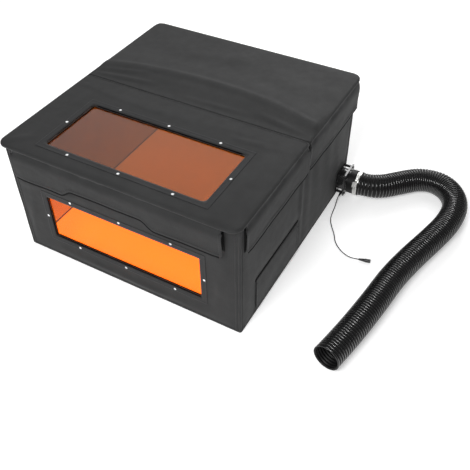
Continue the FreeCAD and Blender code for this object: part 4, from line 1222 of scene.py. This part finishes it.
def side_line(low, high, radius, front, height):
    """A line round three sides of a rectangle with two round corners, anticlockwise from above.
    It leaves out the rear side if front is true, and the front side if not."""
    sides = [(low.x, 1), (high.x, -1)] if front else [(high.x, -1), (low.x, 1)]
    near, far, way, start = (low.y, high.y, 1, 180) if front else (high.y, low.y, -1, 0)
    middles = [Vector((x + inward * radius, near + way * radius, 0)) for x, inward in sides]
    one = bend(middles[0], radius, start, start + 90)
    two = bend(middles[1], radius, start + 90, start + 180)
    first, last = [Vector((x, far, 0)) for x, _ in sides]
    path = [*whole_run(first, one[0]), *one[1:], *run(one[-1], two[0]), *two, *whole_run(two[-1], last)[1:]]
    return [Vector((point.x, point.y, height)) for point in path]


def lid_edge(half):
    """The soft rounded edge round a lid half."""
    low, high = box_of(f"{half}_lid_binding")
    inset = Vector((2.7 * MM, 2.7 * MM, 0))
    low_in, high_in = low + inset, high - inset
    if half == "front":
        high_in.y = high.y
    else:
        low_in.y = low.y
    path = side_line(low_in, high_in, LID_ROUND - inset.x, half == "front", (low.z + high.z) / 2 - 0.9 * MM)
    wavy = [point + Vector((0, 0, 0.4 * MM * noise.noise(point * 14))) for point in path]
    strip(f"{half}_lid_edge", wavy, (6.8 * MM, 8.6 * MM, 3.35 * MM), (0, 0, 1), LID_BODIES[half], SKIN,
          "cover_fabric", f"{half}_lid_binding")


def lid_hinge():
    """The strip of cloth that both lid halves are sewn to, sunk into a groove along the fold."""
    low, high = box_of("fold_piping")
    top = box_of("rear_lid_cover")[1].z
    half_wide = 6.2 * MM

    def surface(x, y):
        groove = math.exp(-((y - FOLD_MIDDLE) / (1.9 * MM)) ** 2)
        return Vector((x, y, top + 0.55 * MM - 3.0 * MM * groove))

    piece = cloth("lid_fold_cloth", steps(low.x, high.x, 8 * MM),
                  steps(FOLD_MIDDLE - half_wide, FOLD_MIDDLE + half_wide, 0.62 * MM), surface)
    finish_sheet(piece, (0, 0, 1), LINING_THICK, None, SKIN, "cover_fabric", "fold_piping")
    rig.blend(piece, "front_lid", "enclosure", (0, FOLD_MIDDLE - 2.6 * MM, top),
             (0, FOLD_MIDDLE + 2.6 * MM, top))
    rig.sheet(piece, flat=(high.x - low.x, 2 * half_wide + 2 * MM), held="stretched",
             rests_on=["front_lid_board", "rear_lid_board"])
    for offset, body in ((-4.1 * MM, "front_lid"), (5.4 * MM, "enclosure")):
        line = [Vector((x, FOLD_MIDDLE + offset, top + 0.65 * MM)) for x in (low.x, high.x)]
        stitch_mesh(f"fold_stitches_{body}", [(line, (0, 0, 1), False)], body)


# ------------------------ bindings of the walls

def corner_binding(name, side_x, side_y):
    """The binding sewn round an upright corner, with a piped edge and a groove each side of it."""
    low, high = box_of("corner_bindings")
    leg, lap, skin, bead = 13.4 * MM, 17 * MM, 0.9 * MM, 4.6 * MM
    inner = WALL_INSET + 0.6 * MM
    behind = WALL_INSET - 0.2 * MM
    arm = [(lap, skin), (lap + 0.2 * MM, 0.4 * MM), (lap - 0.5 * MM, 0), (11.0 * MM, 0),
           (9.8 * MM, 0.6 * MM), (9.0 * MM, 1.4 * MM)]
    arc = [(bead * (1 + math.cos(math.radians(angle))), bead * (1 + math.sin(math.radians(angle))))
           for angle in range(-42, -229, -11)]
    inside = [(skin, leg), (behind, leg), (behind, lap), (inner, lap)]
    profile = arm + arc + [(q, p) for p, q in reversed(arm)] + inside + [(inner, inner)]
    profile += [(q, p) for p, q in reversed(inside)]
    section = [(p * side_x * side_y, -q) for p, q in profile]
    path = []
    for height in np.linspace(low.z - 1.5 * MM, high.z + 1.5 * MM, 40):
        sway = 0.7 * MM * noise.noise(Vector((side_x * 3, side_y * 5, height * 11)))
        path.append(Vector((side_x * (CORNER_OUT.x + sway), side_y * (CORNER_OUT.y + sway), height)))
    piece = sharpen(sweep(name, path, section, (0, side_y, 0)), 50)
    finish_piece(piece, "enclosure", SKIN, "cover_fabric", "corner_bindings")
    rows = []
    for along, face in ((0, (0, side_y, 0)), (1, (side_x, 0, 0))):
        spot = CORNER_OUT.copy()
        spot[along] -= lap - 2.6 * MM
        line = [Vector((side_x * spot.x, side_y * spot.y, height)) for height in (low.z, high.z)]
        rows.append((line, face, False))
    stitch_mesh(f"{name}_stitches", rows, "enclosure")


def edge_tape(name, node, way):
    """The tape folded over the walls' lower or upper edge. way is 1 if its legs point up.
    Its profile, legs, is in millimetres out from the wall and along its height."""
    low, high = box_of(node)
    edge = low.z if way > 0 else high.z
    tall = 9
    inner = WALL_INSET / MM + 0.5
    legs = [(0.0, 0.2), (-0.6, 0.0), (-6.2, 0.0), (-6.9, 0.3), (-inner, 0.9), (-inner, 4.5), (-6.3, 4.5),
            (-6.3, 1.4), (-0.8, 1.4), (-0.8, tall), (-0.3, tall), (0.15, tall - 0.4), (0.2, 0.8)]
    profile = [(out * MM, way * rise * MM) for out, rise in legs]
    path = []
    for side_x, side_y, start in ((1, -1, 270), (1, 1, 0), (-1, 1, 90), (-1, -1, 180)):
        corner = Vector((side_x * (CORNER_OUT.x - TAPE_ROUND), side_y * (CORNER_OUT.y - TAPE_ROUND), edge))
        turn = bend(corner, TAPE_ROUND, start, start + 90, 8)
        if path:
            path += run(path[-1], turn[0])
        path += turn
    path += run(path[-1], path[0])
    piece = sharpen(sweep(name, path, profile, (0, 0, 1), closed=True), 50)
    finish_piece(piece, "enclosure", TAPE, "binding_tape", node)
    row = [point + Vector((0, 0, way * (tall - 2) * MM)) for point in path]

    def outward(point):
        from_x = CORNER_OUT.x - abs(point.x)
        from_y = CORNER_OUT.y - abs(point.y)
        if from_x < from_y:
            return (math.copysign(1, point.x), 0, 0)
        return (0, math.copysign(1, point.y), 0)

    stitch_mesh(f"{name}_stitches", [(row, outward, True)], "enclosure")


# ------------------------ skirt flaps

FLAP_TOP = box_of("front_flap")[1].z
FLAP_HEM = box_of("front_flap")[0].z
FLAP_TALL = FLAP_TOP - FLAP_HEM
END_POINTS = 12
SHORT_HEM = 309 * MM
STEP_LEFT = -139 * MM
STEP_RIGHT = 107 * MM
STEP_RUN = 40 * MM
HEM_WIDE = 9 * MM
BEND_ZONE = 13 * MM


def front_hem(x):
    """The height of the front flap's hem, which rises between two slopes."""
    rise = smooth_step(x, STEP_LEFT - STEP_RUN / 2, STEP_LEFT + STEP_RUN / 2)
    fall = smooth_step(x, STEP_RIGHT - STEP_RUN / 2, STEP_RIGHT + STEP_RUN / 2)
    return FLAP_HEM + (SHORT_HEM - FLAP_HEM) * (rise - fall)


def even_hem(_):
    """The height of a straight hem."""
    return FLAP_HEM


def outward_at(path):
    """Like line_at for a level line, with the outward direction in place of the direction along it."""
    at, length = line_at(path)

    def outward(distance):
        point, ahead = at(distance)
        return point, ahead.cross(Vector((0, 0, 1)))

    return outward, length


def hanging(at, hem, seed, length, depth):
    """A cloth that hangs from the lid's edge: tucked in at the top, full below and loose at the hem."""
    def surface(distance, share):
        point, out = at(distance)
        bottom = hem(point.x)
        drop = share * (FLAP_TOP - bottom)
        height = FLAP_TOP - drop
        tuck = (ripple(distance, height, seed + 1, 42 * MM, 30 * MM, 3.8 * MM) + 1.4 * MM) * depth
        push = -tuck * math.exp(-((drop - 9 * MM) / (8 * MM)) ** 2)
        push -= 2.6 * MM * math.exp(-(drop / (7 * MM)) ** 2)
        push += 2.2 * MM * smooth_step(drop, 12 * MM, 34 * MM)
        push += ripple(distance, height, seed + 2, 34 * MM, 13 * MM, 2.4 * MM) * math.exp(-drop / (26 * MM))
        loose = smooth_step(drop, 15 * MM, 84 * MM)
        push += (ripple(distance, height, seed + 3, 105 * MM, 90 * MM, 5.0 * MM) - 2.2 * MM) * loose
        ends = min(distance, length - distance)
        push -= 1.6 * MM * (1 - smooth_step(ends, 0, 26 * MM)) * loose
        return Vector((point.x, point.y, height)) + out * push
    return surface


def hem_path(surface, length, top_share):
    """The line down one end of a flap, along its hem and up the other end."""
    end_shares = np.linspace(top_share, 0.97, END_POINTS)
    down = [surface(1 * MM, share) for share in end_shares]
    bottom = [surface(distance, 1.0) for distance in np.linspace(4 * MM, length - 4 * MM, 90)]
    up = [surface(length - 1 * MM, share) for share in reversed(end_shares)]
    return down + bottom + up


def skirt_flap(name, node, body, path, hem, seed, depth=1.0):
    """One hanging flap with its hem tape and stitches, sewn to the lid along its top, and a near-black strip under the
    hem that paints the shadow there.
    """
    at, length = outward_at(path)
    surface = hanging(at, hem, seed, length, depth)
    piece = cloth(name, steps(0, length, 5 * MM), steps(0, 1, 3.6 * MM / FLAP_TALL), surface)
    middle, outward = at(length / 2)
    loose = body != "enclosure"
    finish_sheet(piece, outward, FLAP_THICK, None if loose else body, SKIN, "cover_fabric", node, offset=0)
    if loose:
        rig.blend(piece, "front_lid", body, (middle.x, middle.y, FLAP_TOP),
                 (middle.x, middle.y, FLAP_TOP - BEND_ZONE))
    places = [(surface(station, 0.9), at(station)[1]) for station in np.linspace(0, length, 61)]

    def facing(point):
        """The outward direction at the nearest station along the flap."""
        return min(places, key=lambda place: (point - place[0]).length)[1]

    line = hem_path(surface, length, (BEND_ZONE + 3 * MM) / FLAP_TALL)
    bottom = line[END_POINTS:-END_POINTS]
    strip(f"{name}_hem", line, (HEM_WIDE, 1.9 * MM, 0.9 * MM), facing, body, TAPE, "binding_tape")
    # A near-black strip just under the hem: painted shadow below the flap's hem.
    below = Vector((0, 0, -HEM_WIDE / 2 - 1.2 * MM))
    strip(f"{name}_piping", [point + facing(point) * 0.5 * MM + below for point in bottom],
          (4.6 * MM, 2.8 * MM, 1.3 * MM), facing, body, PAINTED_SHADE_PILE, "binding_tape")
    raised = [point + Vector((0, 0, 7.4 * MM)) for point in bottom]
    seam = [point + facing(point) * 0.9 * MM for point in raised]
    stitch_mesh(f"{name}_stitches", [(seam, facing, False)], body)
    return surface, at, length, piece


def hook_patch(name, surface, at, middle, body):
    """A hook tape sewn inside the front flap."""
    low_share = 1 - 26 * MM / FLAP_TALL
    high_share = 1 - 6 * MM / FLAP_TALL

    def inside(distance, share):
        return surface(distance, share) - at(distance)[1] * 0.9 * MM

    piece = cloth(name, steps(middle - TAPE_HALF, middle + TAPE_HALF, 4 * MM),
                  steps(low_share, high_share, 0.045), inside)
    finish_sheet(piece, -at(middle)[1], TAPE_THICK, body, HOOK, "hook_tape", "front_flap_hook_tapes",
                 offset=1)
    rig.sheet(piece, flat=(2 * TAPE_HALF, 20 * MM), held="stretched", rests_on=["front_flap"])


def skirt():
    """The loose front and side flaps, and the skirt round the rear lid half."""
    low, high = box_of("front_flap")
    middle = (low.y + high.y) / 2
    path = whole_run(Vector((low.x, middle, 0)), Vector((high.x, middle, 0)))
    surface, at, length, piece = skirt_flap("front_flap_cloth", "front_flap", "front_flap", path,
                                            front_hem, 50, 2.2)
    short = (SHORT_HEM - FLAP_HEM) * (STEP_RIGHT - STEP_LEFT)
    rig.sheet(piece, flat=(length, FLAP_TALL), held="hung", rests_on=["front_lid_binding"],
             area=length * FLAP_TALL - short)
    for side, way in (("left", -1), ("right", 1)):
        hook_patch(f"hook_tape_{side}", surface, at, length / 2 + way * FRONT_TAPE_PLACE, "front_flap")
    for side, way in (("right", 1), ("left", -1)):
        low, high = box_of(f"{side}_flap")
        middle = (low.x + high.x) / 2
        ends = [Vector((middle, low.y, 0)), Vector((middle, high.y, 0))][::way]
        _, _, length, piece = skirt_flap(f"{side}_flap_cloth", f"{side}_flap", f"{side}_flap",
                                         whole_run(*ends), even_hem, 60 + 10 * way)
        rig.sheet(piece, flat=(length, FLAP_TALL), held="hung", rests_on=["front_lid_binding"])
    low, high = box_of("rear_skirt")
    inset = 1 * MM
    path = side_line(Vector((low.x + inset, low.y, 0)), Vector((high.x - inset, high.y - inset, 0)),
                     LID_ROUND + 1.3 * MM, False, 0)
    _, _, length, piece = skirt_flap("rear_skirt_cloth", "rear_skirt", "enclosure", path, even_hem, 90)
    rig.sheet(piece, flat=(length, FLAP_TALL), held="hung", rests_on=["rear_lid_binding"])


def port_cover():
    """The flap over the cable port, its hem, and the strip that it is sewn to, made near-black as painted shade for
    the dark slit above the flap.
    """
    low, high = box_of("port_flap")
    pipe_low, pipe_high = box_of("port_hinge_piping")
    top = pipe_high.z
    plane = low.x
    length = high.y - low.y

    def surface(y, z):
        drop = (top - z) / (top - low.z)
        push = 0.5 * MM + ripple(y, z, 77.0, 90 * MM, 60 * MM, 2.6 * MM) * smooth_step(drop, 0.02, 0.4)
        gap = 2.2 * MM * smooth_step(y, low.y + 0.3 * length, high.y) * smooth_step(drop, 0.0, 0.12)
        return Vector((plane + push + gap, y, z))

    piece = cloth("port_flap_cloth", steps(low.y, high.y, 5 * MM), steps(low.z, top, 4 * MM), surface)
    finish_sheet(piece, (1, 0, 0), FLAP_THICK, None, SKIN, "cover_fabric", "port_flap", offset=0)
    hinge_z = (pipe_low.z + pipe_high.z) / 2
    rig.blend(piece, "enclosure", "port_flap", (plane, 0, hinge_z + 1 * MM), (plane, 0, hinge_z - 9 * MM))
    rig.sheet(piece, flat=(length, top - low.z), held="hung", rests_on=["port_hinge_piping"])
    edge = 3.4 * MM
    heights = np.linspace(hinge_z - 12 * MM, low.z + edge + 4 * MM, 16)
    line = [surface(low.y + edge, z) for z in heights]
    line += [surface(y, low.z + edge) for y in np.linspace(low.y + edge + 3 * MM, high.y - edge - 3 * MM, 34)]
    line += [surface(high.y - edge, z) for z in reversed(heights)]
    strip("port_flap_hem", line, (7 * MM, 1.7 * MM, 0.8 * MM), (1, 0, 0), "port_flap", TAPE, "binding_tape")
    hinge = [Vector((pipe_low.x + 0.9 * MM, y, hinge_z + 1.5 * MM))
             for y in np.linspace(low.y - 3 * MM, high.y + 3 * MM, 40)]
    # The hinge tape is near-black: painted shade for the shadowed slit at the top of the flap.
    strip("port_hinge_tape", hinge, (9 * MM, 2.2 * MM, 1.0 * MM), (1, 0, 0), "enclosure", PAINTED_SHADE_PILE,
          "binding_tape", "port_hinge_piping")
    row = [point + Vector((1.15 * MM, 0, 1 * MM)) for point in hinge]
    stitch_mesh("port_hinge_stitches", [(row, (1, 0, 0), False)], "enclosure")
    inner = [point + Vector((1.2 * MM, 0, 0)) for point in line]
    stitch_mesh("port_flap_stitches", [(inner, (1, 0, 0), False)], "port_flap")


def wall_strip(name, side, middle, half, bottom, top, pitches, lift, thick, material, *nodes, offset=-1):
    """A rectangle on a wall's cover, between two heights: a sewn tape, or a strip of painted shade."""
    surface, _, normal = wall_surface(side, "cover", lift)
    piece = cloth(name, steps(middle - half, middle + half, pitches[0]), steps(bottom, top, pitches[1]),
                  surface)
    finish_sheet(piece, normal, thick, "enclosure", material, "hook_tape", *nodes, offset=offset)
    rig.sheet(piece, flat=(2 * half, top - bottom), held="stretched", rests_on=[f"{side}_wall_cover"])


def wall_loops():
    """The loop tapes on the walls, which the flaps' tapes press onto."""
    low, high = box_of("wall_loop_tapes")
    spots = [("front", -FRONT_TAPE_PLACE), ("front", FRONT_TAPE_PLACE),
             ("left", SIDE_TAPE_PLACE), ("right", SIDE_TAPE_PLACE)]
    for number, (side, middle) in enumerate(spots):
        wall_strip(f"loop_tape_{number}", side, middle, TAPE_HALF, low.z, high.z, (4 * MM, 4 * MM), 0.1 * MM,
                  TAPE_THICK, HOOK, "wall_loop_tapes", offset=1)


def painted_shade_end_strips():
    """Near-black upright strips on the walls at the flaps' ends: painted shade for the shadowed gaps there."""
    half = 5.1 * MM
    bottom = FLAP_HEM - 3 * MM
    top = box_of("rim_binding")[0].z
    low, high = box_of("front_flap")
    spots = [("front", low.x + 6 * MM, 1.0 * MM), ("front", high.x - 6 * MM, 1.0 * MM)]
    for side in ("left", "right"):
        low, high = box_of(f"{side}_flap")
        spots += [(side, low.y + 2 * MM, 2.4 * MM), (side, high.y + half + 1.2 * MM, 5.0 * MM)]
    for number, (side, middle, lift) in enumerate(spots):
        wall_strip(f"flap_end_painted_shade_{number}", side, middle, half, bottom, top, (2.5 * MM, 5 * MM), lift,
                  1.6 * MM, PAINTED_SHADE_PILE)


# ------------------------ clamp, and the parts kept from CAD

def clamp_band():
    """The clamp's steel band, with its slanted slots pressed in and its edges rolled."""
    low, high = box_of("hose_clamp_band")
    centre = (low + high) / 2
    wide = high.x - low.x
    thick = 0.8 * MM
    inner = (high.z - low.z) / 2 - thick
    parts = 360
    stations = (-0.5, -0.47, -0.42, -0.3, -0.28, -0.1, 0.0, 0.1, 0.28, 0.3, 0.42, 0.47, 0.5)
    points = []
    for number in range(parts):
        angle = 2 * math.pi * number / parts
        out = Vector((0, math.cos(angle), math.sin(angle)))
        for share in stations:
            slot = (number + share * 3) % 4 < 1.6 and abs(share) < 0.29
            roll = 0.25 * MM if abs(share) > 0.45 else 0.0
            lift = thick - (0.45 * MM if slot else 0.0) - roll
            points.append(centre + Vector((share * wide, 0, 0)) + out * (inner + lift))
        for share in (0.5, -0.5):
            points.append(centre + Vector((share * wide, 0, 0)) + out * inner)
    piece = sharpen(mesh_object("clamp_band", points, ring_faces(parts, len(stations) + 2, closed=True)))
    finish_piece(piece, "enclosure", CLAMP_STEEL, "clamp_steel", "hose_clamp_band")


def dress_cad_parts():
    """Gives each CAD part that still shows its own material and softly rounded edges."""
    for part in frame["record"]["subparts"]:
        thing = frame["nodes"][part["node"]]
        if thing.hide_render:
            continue
        # The lid pane takes the darker copy of the amber: painted shade.
        dark = part["node"] == "lid_window_pane"
        for place in thing.material_slots:
            place.material = SHADED_AMBER if dark else SLOT_MATERIALS[part["material_slot"]]
        if "pane" not in part["node"]:
            bevelled(thing, 0.35 * MM)


for wall_side in WALLS:
    wall_sheet(wall_side, "cover")
    wall_sheet(wall_side, "lining")
for lid_half in ("front", "rear"):
    lid_sheet(lid_half)
    lid_lining(lid_half)
    lid_edge(lid_half)
window_surround("front_window_surround", "enclosure", FRONT_WINDOW,
                lambda x, z: Vector((x, box_of("front_wall_cover")[0].y, z)), (0, -1, 0), 5.0 * MM, 4 * MM)
window_surround("lid_window_surround", "front_lid", LID_WINDOW,
                lambda x, y: Vector((x, y, box_of("front_lid_cover")[1].z)), (0, 0, 1), 5.8 * MM, 13 * MM)
lid_hinge()
for corner_name, side_x, side_y in (("front_left_corner", -1, -1), ("front_right_corner", 1, -1),
                                    ("rear_right_corner", 1, 1), ("rear_left_corner", -1, 1)):
    corner_binding(corner_name, side_x, side_y)
edge_tape("base_tape", "base_binding", 1)
edge_tape("rim_tape", "rim_binding", -1)
skirt()
port_cover()
wall_loops()
painted_shade_end_strips()
clamp_band()
dress_cad_parts()


# ------------------------ stage, light and the extents file

def make_stage():
    """A plain pale floor, a floor inside the enclosure that glows brighter as painted light for the inside, and soft
    studio light.
    """
    wall = box_of("base_binding")[1].y - 10 * MM
    # The floor inside glows far brighter than the one outside: painted light that lights the inside of the enclosure.
    for name, half, depth, glow in (("floor", 6, 0.4 * MM, 0.38), ("floor_inside", wall, 0.2 * MM, 1.15)):
        floor = mesh_object(name, [(-half, -half, -depth), (half, -half, -depth), (half, half, -depth),
                                   (-half, half, -depth)], [(0, 1, 2, 3)])
        material, shader = new_material(f"pale_{name}", (0.9, 0.9, 0.9), 0.85)
        shader.inputs["Emission Color"].default_value = (1, 1, 1, 1)
        shader.inputs["Emission Strength"].default_value = glow
        floor.data.materials.append(material)
        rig.stage(floor)
    world = bpy.data.worlds.new("studio")
    world.use_nodes = True
    sky = world.node_tree.nodes["Background"]
    sky.inputs["Color"].default_value = (1, 1, 1, 1)
    sky.inputs["Strength"].default_value = 0.2
    bpy.context.scene.world = world
    for name, place, size, power, aim in (("key", (-1.1, 2.0, 2.6), 2.6, 36, (0.1, 0, 0.1)),
                                          ("rim", (0.1, 2.3, 1.4), 1.0, 19, (0.0, 0.1, 0.37)),
                                          ("fill", (0.3, -2.2, 2.3), 1.0, 70, (0.1, 0, 0.1)),
                                          ("side", (1.9, 1.2, 2.6), 0.8, 3, (0.5, 0, 0))):
        lamp = bpy.data.lights.new(name, "AREA")
        lamp.size = size
        lamp.energy = power
        holder = bpy.data.objects.new(name, lamp)
        holder.location = place
        holder.rotation_euler = (Vector(aim) - Vector(place)).to_track_quat("-Z", "Y").to_euler()
        bpy.context.scene.collection.objects.link(holder)
    bpy.context.scene.view_settings.view_transform = "Standard"


make_stage()

with open("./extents.json", "w") as size_file:
    json.dump({"cad": [list(corner) for corner in CAD_BOX],
               "visual": [list(corner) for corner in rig.bounds()]}, size_file)
